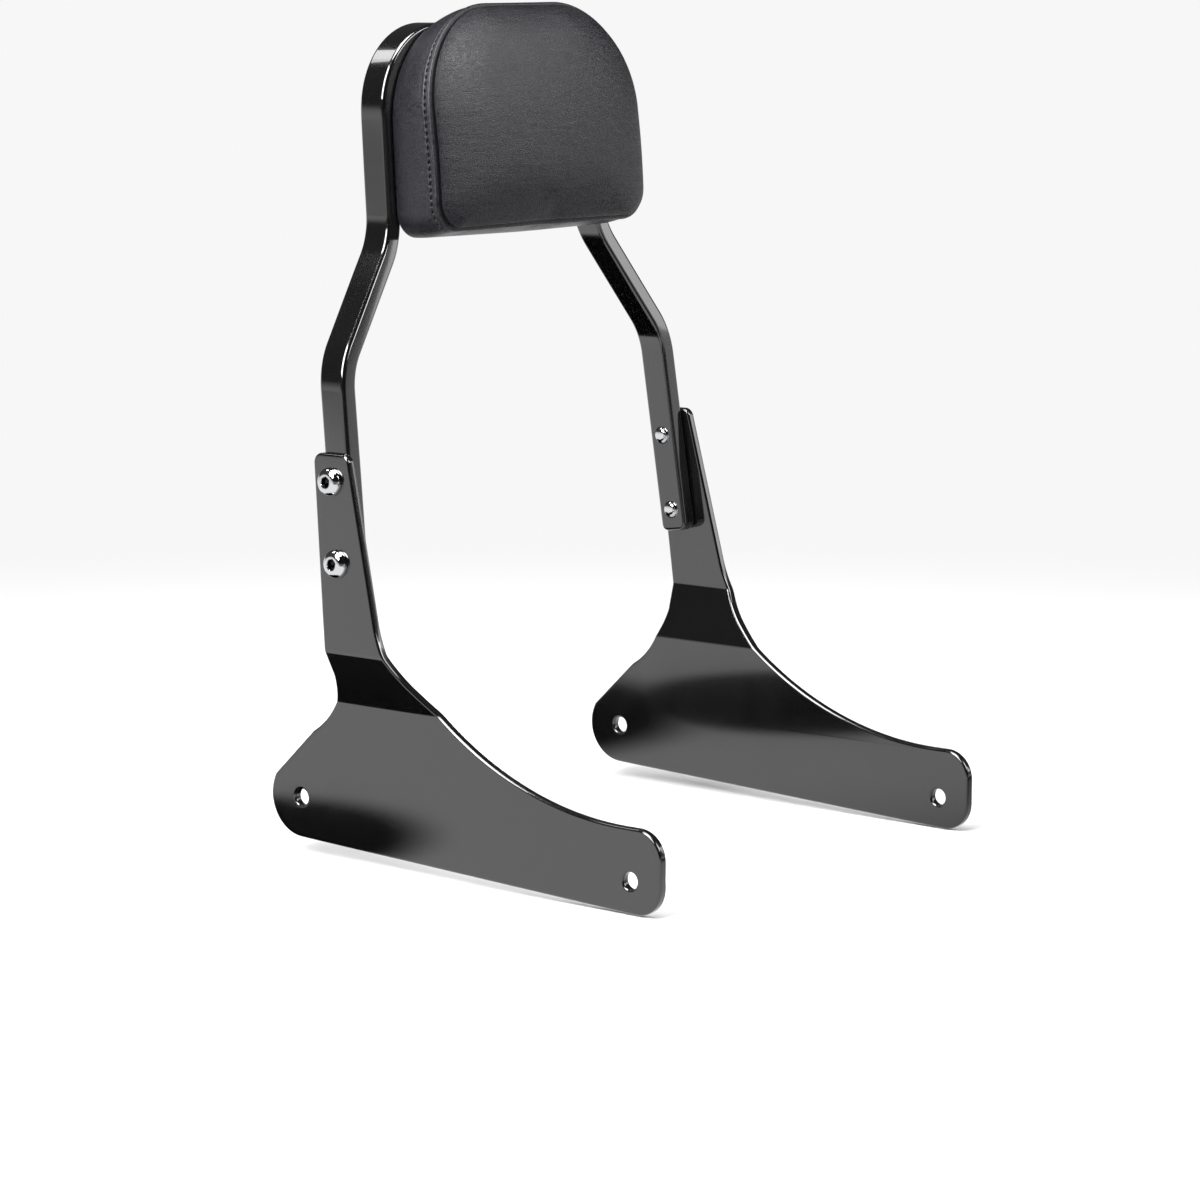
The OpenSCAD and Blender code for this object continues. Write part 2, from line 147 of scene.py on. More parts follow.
def rounded_path(corners: Array, radii: Sequence[float], steps: int) -> tuple[Array, Array]:
    """A polyline with its inner corners rounded to tangent arcs.

    At each corner the arc starts radius x tan(half the turn) before it, and its points are the arc's
    centre plus the radius times a unit vector that turns from the first side's normal to the second's.

    Args:
        corners: Corner points, one row each.
        radii: Radius at each inner corner.
        steps: Straight steps in each arc.

    Returns:
        The points, and the heading at each in radians.
    """
    sides = np.diff(corners, axis=0)
    units = sides / np.linalg.norm(sides, axis=1, keepdims=True)
    angles = np.unwrap(np.arctan2(units[:, 1], units[:, 0]))
    points, turned = [corners[:1]], [angles[:1]]
    for corner, radius, before, after in zip(corners[1:-1], radii, angles[:-1], angles[1:]):
        hand = np.sign(after - before)
        start = corner - radius * abs(math.tan((after - before) / 2)) * headings(np.array(before))
        centre = start + hand * radius * headings(np.array(before + math.pi / 2))
        heading = np.linspace(before, after, steps + 1)
        points.append(centre - hand * radius * headings(heading + math.pi / 2))
        turned.append(heading)
    points.append(corners[-1:])
    turned.append(angles[-1:])
    return np.concatenate(points), np.concatenate(turned)


def run_lengths(points: Array) -> Array:
    """Length of a polyline from its start to each of its points."""
    return np.concatenate([[0], np.cumsum(np.linalg.norm(np.diff(points, axis=0), axis=1))])


def read_at(at: Array, marks: Array, rows: Array) -> Array:
    """Rows read at places between the marks that they belong to, each column evenly."""
    return np.stack([np.interp(at, marks, column) for column in rows.T], axis=-1)


def resampled(points: Array, values: Array, spacing: float) -> tuple[Array, Array]:
    """A path with points added wherever two of them lie further apart than the spacing.

    Args:
        points: Path points.
        values: A number that belongs to each point and runs evenly between them.
        spacing: Largest distance allowed.

    Returns:
        The denser points and their values.
    """
    length = run_lengths(points)
    extra = np.arange(0, length[-1], spacing)
    at = np.unique(np.round(np.concatenate([length, extra]), 7))
    at = at[np.concatenate([[True], np.diff(at) > spacing / 20])]
    return read_at(at, length, points), np.interp(at, length, values)


def ring_normals(ring: Array) -> Array:
    """Outward unit normals of a closed outline that runs clockwise, from its neighbours on both sides."""
    along = np.roll(ring, -1, axis=0) - np.roll(ring, 1, axis=0)
    normal = np.stack([-along[:, 1], along[:, 0]], axis=-1)
    return normal / np.linalg.norm(normal, axis=1, keepdims=True)


def clockwise(ring: Array) -> Array:
    """The outline in clockwise order, by the sign of its area."""
    following = np.roll(ring, -1, axis=0)
    area = np.sum(ring[:, 0] * following[:, 1] - following[:, 0] * ring[:, 1])
    return ring[::-1] if area > 0 else ring


def smooth_step(low: float, high: float, value: Array) -> Array:
    """A rise from 0 at low to 1 at high, level at both ends: 3t^2 - 2t^3."""
    t = np.clip((value - low) / (high - low), 0, 1)
    return t * t * (3 - 2 * t)


# Meshes


@dataclass
class Shell:
    """Points and faces gathered before they become one mesh."""

    points: list[Array] = field(default_factory=list)
    faces: list[tuple[int, ...]] = field(default_factory=list)
    count: int = 0

    def add_points(self, points: Array) -> int:
        """Adds points and returns the index of the first."""
        first = self.count
        self.points.append(np.asarray(points, float).reshape(-1, 3))
        self.count += len(self.points[-1])
        return first

    def add_grid(self, grid: Array, closed: bool = True) -> int:
        """Adds a grid of quads.

        Args:
            grid: Points as rows x columns x 3.
            closed: Whether the last column joins the first.

        Returns:
            The index of the grid's first point.
        """
        rows, columns = grid.shape[:2]
        first = self.add_points(grid)
        span = columns if closed else columns - 1
        row, column = np.meshgrid(np.arange(rows - 1), np.arange(span), indexing="ij")
        near = first + row * columns + column
        far = first + row * columns + (column + 1) % columns
        quads = np.stack([near, far, far + columns, near + columns], axis=-1).reshape(-1, 4)
        self.faces.extend(map(tuple, quads.tolist()))
        return first

    def add_fan(self, first: int, columns: int, middle: Array) -> None:
        """Closes a ring of points with triangles to one point.

        Args:
            first: Index of the ring's first point.
            columns: Number of points in the ring.
            middle: The point in the middle.
        """
        tip = self.add_points(np.asarray(middle, float))
        index = np.arange(columns)
        fan = np.stack([first + index, first + (index + 1) % columns, np.full(columns, tip)], axis=-1)
        self.faces.extend(map(tuple, fan.tolist()))

    def add_tube(self, grid: Array) -> None:
        """Adds a grid of closed rows, with its first and last row each closed to their mean point."""
        rows, columns = grid.shape[:2]
        first = self.add_grid(grid)
        self.add_fan(first, columns, grid[0].mean(axis=0))
        self.add_fan(first + (rows - 1) * columns, columns, grid[-1].mean(axis=0))

    def mesh(self, name: str, sharp: float = 40.0) -> bpy.types.Mesh:
        """Makes the mesh, merges its doubles, turns its faces outward and shades it.

        Args:
            name: Name of the mesh.
            sharp: Angle in degrees above which an edge stays sharp.

        Returns:
            The new mesh.
        """
        mesh = bpy.data.meshes.new(name)
        mesh.from_pydata(np.concatenate(self.points).tolist(), [], self.faces)
        return finished_mesh(mesh, sharp)


def finished_mesh(mesh: bpy.types.Mesh, sharp: float) -> bpy.types.Mesh:
    """Cleans a mesh and shades it smooth up to an angle.

    Doubles are merged, points that only split an edge go, and the faces are turned outward.

    Args:
        mesh: The mesh, changed in place.
        sharp: Angle in degrees above which an edge stays sharp.

    Returns:
        The same mesh.
    """
    work = bmesh.new()
    work.from_mesh(mesh)
    bmesh.ops.remove_doubles(work, verts=work.verts, dist=1e-7)
    bmesh.ops.dissolve_verts(work, verts=[vert for vert in work.verts if len(vert.link_edges) == 2])
    bmesh.ops.recalc_face_normals(work, faces=work.faces)
    work.to_mesh(mesh)
    work.free()
    mesh.shade_smooth()
    mesh.set_sharp_from_angle(angle=math.radians(sharp))
    return mesh


def lathe(profile: Array, segments: int, radius_at: Callable[[Array, Array], Array] | None = None) -> Array:
    """A profile of (radius, height) pairs turned about Z.

    Args:
        profile: Rows of radius and height.
        segments: Points round each ring.
        radius_at: Optional change of the radii, given the radii and angles as arrays.

    Returns:
        Points as rows x segments x 3.
    """
    angle = np.linspace(0, 2 * math.pi, segments, endpoint=False)
    radius = np.repeat(profile[:, :1], segments, axis=1)
    if radius_at is not None:
        radius = radius_at(radius, np.broadcast_to(angle, radius.shape))
    height = np.repeat(profile[:, 1:2], segments, axis=1)
    return np.stack([radius * np.cos(angle), radius * np.sin(angle), height], axis=-1)


def placed(points: Array, matrix: Matrix) -> Array:
    """Points moved by a 4 x 4 matrix."""
    m = np.array(matrix)
    return points @ m[:3, :3].T + m[:3, 3]


def linked(name: str, data: bpy.types.ID) -> bpy.types.Object:
    """A new object in the scene, made of a mesh, a lamp's data or a camera's."""
    item = bpy.data.objects.new(name, data)
    bpy.context.scene.collection.objects.link(item)
    return item


def new_piece(mesh: bpy.types.Mesh, finish: "Finish", replaces: Sequence[str] = ()) -> bpy.types.Object:
    """Links a mesh as a piece of the object, with its finish, and rides it on the one body.

    Args:
        mesh: The piece's mesh, in place.
        finish: What it is made of.
        replaces: Names of the construction nodes that it stands for.

    Returns:
        The new object.
    """
    piece = linked(mesh.name, mesh)
    mesh.materials.append(finish.material())
    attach(piece, "root")
    if isinstance(finish, (PowderCoat, Plating)):
        shading = piece.modifiers.new("shading", "WEIGHTED_NORMAL")
        shading.weight = 100
        shading.keep_sharp = True
    if replaces:
        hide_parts(*replaces)
    LOG.info("%s: %d faces, %s", mesh.name, len(mesh.polygons), finish.slot)
    return piece


def mesh_points(mesh: bpy.types.Mesh) -> Array:
    """A mesh's points as an array."""
    flat = np.zeros(len(mesh.vertices) * 3)
    mesh.vertices.foreach_get("co", flat)
    return flat.reshape(-1, 3)


def set_mesh_points(mesh: bpy.types.Mesh, points: Array) -> None:
    """Writes an array of points into a mesh."""
    mesh.vertices.foreach_set("co", np.ascontiguousarray(points).ravel())
    mesh.update()


def mark_points(mesh: bpy.types.Mesh, name: str, values: Array) -> None:
    """Keeps a number for each point of a mesh, for its material to read."""
    attribute = mesh.attributes.new(name, "FLOAT", "POINT")
    attribute.data.foreach_set("value", np.ascontiguousarray(values, dtype=float).ravel())


def bored(mesh: bpy.types.Mesh, cutter: bpy.types.Mesh) -> bpy.types.Mesh:
    """Cuts one closed mesh out of another.

    Args:
        mesh: What is cut.
        cutter: What is taken away.

    Returns:
        The cut mesh, under the first one's name.
    """
    name = mesh.name
    body, tool = linked("work_body", mesh), linked("work_tool", cutter)
    modifier = body.modifiers.new("cut", "BOOLEAN")
    modifier.operation = "DIFFERENCE"
    modifier.solver = "EXACT"
    modifier.object = tool
    graph = bpy.context.evaluated_depsgraph_get()
    result = bpy.data.meshes.new_from_object(body.evaluated_get(graph))
    bpy.data.objects.remove(body)
    bpy.data.objects.remove(tool)
    mesh.name = name + "_uncut"
    result.name = name
    return finished_mesh(result, 35)


@dataclass
class Slab:
    """A flat plate with rounded edges, lying in X and Y with its middle at Z = 0.

    Each outline runs up the edge as a ladder of rings, drawn into the plate by the edge radius times one
    minus the sine of the angle, at a height that rises with its cosine; both faces are filled flat.
    """

    outline: Array
    holes: list[Array]
    thick: float
    edge_radius: float
    steps: int = 5

    def ladder(self) -> tuple[Array, Array]:
        """Insets and heights of the rings, from the lower face to the upper."""
        angle = np.radians(np.linspace(0, 90, self.steps + 1))
        inset = self.edge_radius * (1 - np.sin(angle))
        height = self.thick / 2 - self.edge_radius * (1 - np.cos(angle))
        return np.concatenate([inset, inset[::-1]]), np.concatenate([-height, height[::-1]])

    def mesh(self, name: str) -> bpy.types.Mesh:
        """The plate's mesh."""
        shell = Shell()
        inset, height = self.ladder()
        loops = []
        for index, ring in enumerate([self.outline, *self.holes]):
            ring = clockwise(ring)
            inward = -ring_normals(ring) if index == 0 else ring_normals(ring)
            flat = ring[None] + inset[:, None, None] * inward[None]
            level = np.broadcast_to(height[:, None, None], flat.shape[:2] + (1,))
            first = shell.add_grid(np.concatenate([flat, level], axis=-1))
            loops.append((first, flat[0], len(inset)))
        polygon = [[Vector((*p, 0)) for p in flat.tolist()] for _, flat, _ in loops]
        triangles = np.array(tessellate_polygon(polygon))
        low = np.concatenate([first + np.arange(len(flat)) for first, flat, _ in loops])
        high = np.concatenate([first + (rows - 1) * len(flat) + np.arange(len(flat))
                               for first, flat, rows in loops])
        for face in (low, high):
            shell.faces.extend(map(tuple, face[triangles].tolist()))
        return shell.mesh(name, 35)


# Shader groups and finishes


class Effect(Enum):
    """Effects shared by several materials; the value is the group's name."""

    WAVES = "surface_waves"
    SMUDGES = "handling_smudges"
    GRAIN = "vinyl_grain"
    SEAM = "sewn_seam"


def fill_node(tree: Tree, node: Node, **named: object) -> Node:
    """Sets a node's properties, and sets or feeds its sockets.

    Args:
        tree: The node's tree.
        node: The node.
        **named: Values by the name of a property or a socket, with underscores for its spaces. Another
            node's output is linked, and anything else is a plain value.

    Returns:
        The same node.
    """
    for name, value in named.items():
        socket = node.inputs.get(name.replace("_", " "))
        if socket is None:
            setattr(node, name, value)
        else:
            feed(tree, socket, value)
    return node


def feed(tree: Tree, socket: Socket, value: object) -> None:
    """Links an output to a socket, or sets the socket to a plain value."""
    if isinstance(value, Socket):
        tree.links.new(value, socket)
    else:
        socket.default_value = value


def add_node(tree: Tree, kind: str, *fed: object, **named: object) -> Node:
    """Adds a shader node.

    Args:
        tree: The tree that it joins.
        kind: Its type, without the words ShaderNode before it.
        *fed: Values or outputs for its sockets, in their order.
        **named: Properties and sockets by name, as in fill_node.

    Returns:
        The node.
    """
    node = fill_node(tree, tree.nodes.new("ShaderNode" + kind), **named)
    for socket, value in zip(node.inputs, fed):
        feed(tree, socket, value)
    return node


def object_coords(tree: Tree) -> Socket:
    """The output with Object coordinates."""
    return add_node(tree, "TexCoord").outputs["Object"]


def math_node(tree: Tree, operation: str, *fed: object) -> Socket:
    """Adds a Math node fed by outputs or numbers, and returns its own output."""
    return add_node(tree, "Math", *fed, operation=operation).outputs[0]


def ramp_node(tree: Tree, value: Socket, low: float, high: float, start: float | Socket = 0.0,
              end: float | Socket = 1.0) -> Socket:
    """Maps a value smoothly from low..high to start..end, and returns the result's output."""
    node = add_node(tree, "MapRange", interpolation_type="SMOOTHSTEP", Value=value, From_Min=low,
                    From_Max=high, To_Min=start, To_Max=end)
    return node.outputs["Result"]


def new_group(effect: Effect, takes: Sequence[str], gives: Sequence[str]) -> tuple[Tree, Node, Node]:
    """Starts a node group of plain number sockets.

    Args:
        effect: The effect that it holds.
        takes: Names of its inputs.
        gives: Names of its outputs.

    Returns:
        The tree, the node with what it is given, and the node for its results.
    """
    tree = bpy.data.node_groups.new(effect.value, "ShaderNodeTree")
    for way, names in (("INPUT", takes), ("OUTPUT", gives)):
        for name in names:
            tree.interface.new_socket(name, in_out=way, socket_type="NodeSocketFloat")
    return tree, tree.nodes.new("NodeGroupInput"), tree.nodes.new("NodeGroupOutput")


def waves_group() -> Tree:
    """Slow waves of a sprayed surface: two noises of Object coordinates, the finer one weaker."""
    finer, weaker = 2.7, 0.15
    tree, given, out = new_group(Effect.WAVES, ["Scale"], ["Height"])
    where, scale = object_coords(tree), given.outputs["Scale"]
    slow = add_node(tree, "TexNoise", Vector=where, Scale=scale, Detail=1.0)
    fine = add_node(tree, "TexNoise", Vector=where, Scale=math_node(tree, "MULTIPLY", scale, finer),
                    Detail=2.0)
    height = math_node(tree, "MULTIPLY_ADD", fine.outputs["Fac"], weaker, slow.outputs["Fac"])
    fill_node(tree, out, Height=height)
    return tree


def smudges_group() -> Tree:
    """Soft patches left by handling: a warped noise of Object coordinates, stretched in contrast."""
    faint, full = 0.38, 0.64
    tree, given, out = new_group(Effect.SMUDGES, ["Scale", "Low", "High"], ["Value"])
    noise = add_node(tree, "TexNoise", Vector=object_coords(tree), Scale=given.outputs["Scale"],
                     Detail=5.0, Roughness=0.6, Distortion=0.8)
    fill_node(tree, out, Value=ramp_node(tree, noise.outputs["Fac"], faint, full, given.outputs["Low"],
                                         given.outputs["High"]))
    return tree


def grain_group() -> Tree:
    """Embossed vinyl: rounded cells of a warped Voronoi, with fine creases that run across the piece."""
    warp_scale, warp_reach, cell_edge = 900.0, 0.6 * MM, 0.28
    crease_stretch = (45.0, 45.0, 300.0)
    tree, given, out = new_group(Effect.GRAIN, ["Scale", "Creases"], ["Height", "Valleys"])
    where = object_coords(tree)
    warp = add_node(tree, "TexNoise", Vector=where, Scale=warp_scale, Detail=2.0)
    moved = add_node(tree, "VectorMath", warp.outputs["Color"], (warp_reach,) * 3, where,
                     operation="MULTIPLY_ADD")
    cells = add_node(tree, "TexVoronoi", feature="DISTANCE_TO_EDGE", Vector=moved.outputs["Vector"],
                     Scale=given.outputs["Scale"])
    rounded = ramp_node(tree, cells.outputs["Distance"], 0.0, cell_edge)
    stretched = add_node(tree, "Mapping", Vector=where, Scale=crease_stretch)
    crease = add_node(tree, "TexNoise", Vector=stretched.outputs["Vector"], Scale=1.0, Detail=3.0,
                      Roughness=0.55)
    creased = math_node(tree, "MULTIPLY", crease.outputs["Fac"], given.outputs["Creases"])
    # Valleys is painted shade: it is one where the grain's cells meet, for the colour to darken there
    fill_node(tree, out, Height=math_node(tree, "ADD", rounded, creased),
              Valleys=math_node(tree, "SUBTRACT", 1.0, rounded))
    return tree


def seam_group() -> Tree:
    """Needle holes, puckers and the closed seam of a sewn edge.

    Run counts stitches along the edge, and Across is the distance in millimetres from the stitch line,
    with the seam at the distance Seam. Dark is painted shade in the holes and the seam's groove; Height
    sinks at both and swells between two holes.
    """
    hole_end, hole_clear = 0.14, 0.27
    line_half, line_clear, pucker_end = 0.6, 1.1, 3.4
    seam_half, seam_clear = 0.35, 1.1
    pucker_height = 0.55
    tree, given, out = new_group(Effect.SEAM, ["Run", "Across", "Seam"], ["Dark", "Height"])
    run, across, seam = (given.outputs[name] for name in ("Run", "Across", "Seam"))
    hole_gap = math_node(tree, "PINGPONG", run, 0.5)
    off_line = math_node(tree, "ABSOLUTE", across)
    off_seam = math_node(tree, "ABSOLUTE", math_node(tree, "SUBTRACT", across, seam))
    hole = math_node(tree, "MULTIPLY", ramp_node(tree, hole_gap, hole_end, hole_clear, 1.0, 0.0),
                     ramp_node(tree, off_line, line_half, line_clear, 1.0, 0.0))
    closed = ramp_node(tree, off_seam, seam_half, seam_clear, 1.0, 0.0)
    near = ramp_node(tree, off_line, line_half, pucker_end, 1.0, 0.0)
    pucker = math_node(tree, "MULTIPLY", math_node(tree, "MULTIPLY", hole_gap, pucker_height), near)
    # painted shade: dark in the needle holes and in the seam's groove, for the colour
    dark = math_node(tree, "MAXIMUM", hole, closed)
    fill_node(tree, out, Dark=dark, Height=math_node(tree, "SUBTRACT", pucker, dark))
    return tree


GROUP_MAKERS = {Effect.WAVES: waves_group, Effect.SMUDGES: smudges_group, Effect.GRAIN: grain_group,
                Effect.SEAM: seam_group}


def effect_node(tree: Tree, effect: Effect, **named: object) -> Node:
    """Places a shared effect in a material, making its group the first time.

    Args:
        tree: The material's node tree.
        effect: Which effect.
        **named: Values for the group's sockets, by name.

    Returns:
        The group node.
    """
    group = bpy.data.node_groups.get(effect.value) or GROUP_MAKERS[effect]()
    return add_node(tree, "Group", node_tree=group, **named)


@dataclass(frozen=True)
class Finish:
    """A finish: its slot in the record and the plain values of its shader."""

    slot: str
    color: Color
    roughness: float
    metallic: float = 0.0

    def material(self) -> bpy.types.Material:
        """The finish's material, made once."""
        name = type(self).__name__ + "_" + self.slot
        material = bpy.data.materials.get(name)
        if material is None:
            material = bpy.data.materials.new(name)
            material.use_nodes = True
            tree = material.node_tree
            shader = tree.nodes["Principled BSDF"]
            fill_node(tree, shader, Base_Color=(*self.color, 1), Roughness=self.roughness,
                      Metallic=self.metallic)
            self.detail(tree, shader)
        return material

    def detail(self, tree: Tree, shader: Node) -> None:
        """Adds what makes this finish more than a colour; each finish has its own."""
        raise NotImplementedError

    @staticmethod
    def bump(tree: Tree, shader: Node, height: Socket, distance: float) -> None:
        """Feeds a height, in units of the distance, to the shader's normal through a Bump node."""
        relief = add_node(tree, "Bump", Strength=1.0, Distance=distance, Height=height)
        fill_node(tree, shader, Normal=relief.outputs["Normal"])

    @staticmethod
    def blend_colors(tree: Tree, shader: Node, share: Socket, first: Color, second: Color) -> None:
        """Feeds the base colour with a blend that goes from the first colour to the second."""
        tone = add_node(tree, "Mix", data_type="RGBA", A=(*first, 1), B=(*second, 1), Factor=share)
        fill_node(tree, shader, Base_Color=tone.outputs["Result"])

    def smudges(self, tree: Tree, scale: float, below: float, above: float) -> Socket:
        """The roughness, varied by smudges from so much below its plain value to so much above."""
        node = effect_node(tree, Effect.SMUDGES, Scale=scale, Low=self.roughness - below,
                           High=self.roughness + above)
        return node.outputs["Value"]


@dataclass(frozen=True)
class PowderCoat(Finish):
    """Gloss black paint on steel: a clear top layer over slow waves, with faint handling smudges."""

    wave_scale: float = 420.0
    wave_height: float = 0.01 * MM
    coat_roughness: float = 0.05
    coat_ior: float = 1.75
    smudge: float = 0.05
    smudge_scale: float = 18.0

    def detail(self, tree: Tree, shader: Node) -> None:
        """Waves in the normal, smudges in the roughness."""
        waves = effect_node(tree, Effect.WAVES, Scale=self.wave_scale)
        self.bump(tree, shader, waves.outputs["Height"], self.wave_height)
        fill_node(tree, shader, Coat_Weight=1.0, Coat_Roughness=self.coat_roughness,
                  Coat_IOR=self.coat_ior, Roughness=self.smudges(tree, self.smudge_scale, 0.0, self.smudge))


@dataclass(frozen=True)
class Plating(Finish):
    """Bright metal plating: chrome or zinc, with smudges, a faint ripple and painted shade in its recesses.
    """

    ripple_scale: float = 300.0
    ripple_height: float = 0.004 * MM
    smudge: float = 0.08
    smudge_scale: float = 90.0
    # painted shade: the dark colour that marked recesses, such as screw sockets, are blended to
    grime: Color = (0.03, 0.03, 0.032)

    def detail(self, tree: Tree, shader: Node) -> None:
        """Ripple in the normal, smudges in the roughness, painted recess shade in the colour."""
        recess = add_node(tree, "Attribute", attribute_name="recess")
        # painted shade: points marked as a recess darken towards the shade colour
        self.blend_colors(tree, shader, recess.outputs["Fac"], self.color, self.grime)
        waves = effect_node(tree, Effect.WAVES, Scale=self.ripple_scale)
        self.bump(tree, shader, waves.outputs["Height"], self.ripple_height)
        fill_node(tree, shader, Roughness=self.smudges(tree, self.smudge_scale, 0.0, self.smudge))


@dataclass(frozen=True)
class Vinyl(Finish):
    """Embossed upholstery vinyl: a fine grain with painted shade in its valleys, and the marks of its sewn
    edge, with painted shade in its needle holes and seam.
    """

    grain_scale: float = 850.0
    grain_height: float = 0.07 * MM
    creases: float = 2.6
    sewn: float = 8.0
    seam_gap: float = 5.7
    seam_matt: float = 0.35
    smudge_scale: float = 30.0
    smoother: float = 0.04
    rougher: float = 0.05
    # painted shade: the colour of the grain's valleys, the needle holes and the seam
    valley_color: Color = (0.002, 0.002, 0.0024)

    def detail(self, tree: Tree, shader: Node) -> None:
        """Grain and sewn relief in the normal, painted shade of the valleys, holes and seam in the colour,
        smudges in the roughness.
        """
        grain = effect_node(tree, Effect.GRAIN, Scale=self.grain_scale, Creases=self.creases).outputs
        run, across = (add_node(tree, "Attribute", attribute_name=name).outputs["Fac"]
                       for name in ("sewn_run", "sewn_across"))
        seam = effect_node(tree, Effect.SEAM, Seam=self.seam_gap, Run=run, Across=across).outputs
        relief = math_node(tree, "MULTIPLY_ADD", seam["Height"], self.sewn, grain["Height"])
        self.bump(tree, shader, relief, self.grain_height)
        # painted shade of the valleys, holes and seam darkens the base colour
        dark = math_node(tree, "MAXIMUM", grain["Valleys"], seam["Dark"])
        self.blend_colors(tree, shader, dark, self.color, self.valley_color)
        rough = math_node(tree, "MULTIPLY_ADD", seam["Dark"], self.seam_matt,
                          self.smudges(tree, self.smudge_scale, self.smoother, self.rougher))
        fill_node(tree, shader, Roughness=rough)


@dataclass(frozen=True)
class Plywood(Finish):
    """Bare birch plywood: long grain of a stretched noise between two browns."""

    dark: Color = (0.33, 0.20, 0.10)
    grain_stretch: tuple[float, float, float] = (9.0, 90.0, 90.0)
    grain_height: float = 0.2 * MM

    def detail(self, tree: Tree, shader: Node) -> None:
        """Grain in the colour and a shallow relief of it in the normal."""
        stretched = add_node(tree, "Mapping", Vector=object_coords(tree), Scale=self.grain_stretch)
        noise = add_node(tree, "TexNoise", Vector=stretched.outputs["Vector"], Scale=4.0, Detail=6.0,
                         Roughness=0.6, Distortion=0.4)
        self.blend_colors(tree, shader, noise.outputs["Fac"], self.dark, self.color)
        self.bump(tree, shader, noise.outputs["Fac"], self.grain_height)


@dataclass(frozen=True)
class Foam(Finish):
    """Open-cell foam: small pores of a Voronoi."""

    pore_scale: float = 900.0
    pore_depth: float = 0.4 * MM

    def detail(self, tree: Tree, shader: Node) -> None:
        """Pores in the normal."""
        pores = add_node(tree, "TexVoronoi", Vector=object_coords(tree), Scale=self.pore_scale)
        self.bump(tree, shader, pores.outputs["Distance"], self.pore_depth)


@dataclass(frozen=True)
class Thread(Finish):
    """Twisted polyester thread: a fine diagonal wave."""

    twist_scale: float = 900.0
    twist_height: float = 0.1 * MM

    def detail(self, tree: Tree, shader: Node) -> None:
        """Twist in the normal."""
        twist = add_node(tree, "TexWave", wave_type="BANDS", bands_direction="DIAGONAL",
                         Vector=object_coords(tree), Scale=self.twist_scale)
        self.bump(tree, shader, twist.outputs["Fac"], self.twist_height)


POWDER_COAT = PowderCoat("black_powder_coat", (0.003, 0.003, 0.0033), 0.12)
CHROME = Plating("chrome_steel", (0.78, 0.79, 0.81), 0.05, metallic=1.0)
ZINC = Plating("zinc_steel", (0.52, 0.54, 0.57), 0.26, metallic=1.0, smudge=0.14)
VINYL = Vinyl("black_vinyl", (0.0195, 0.0190, 0.0260), 0.36)
THREAD = Thread("black_vinyl", (0.020, 0.020, 0.023), 0.55)
PLYWOOD = Plywood("plywood", (0.55, 0.38, 0.22), 0.7)
FOAM = Foam("foam", (0.75, 0.68, 0.45), 0.9)


# Sub-assemblies


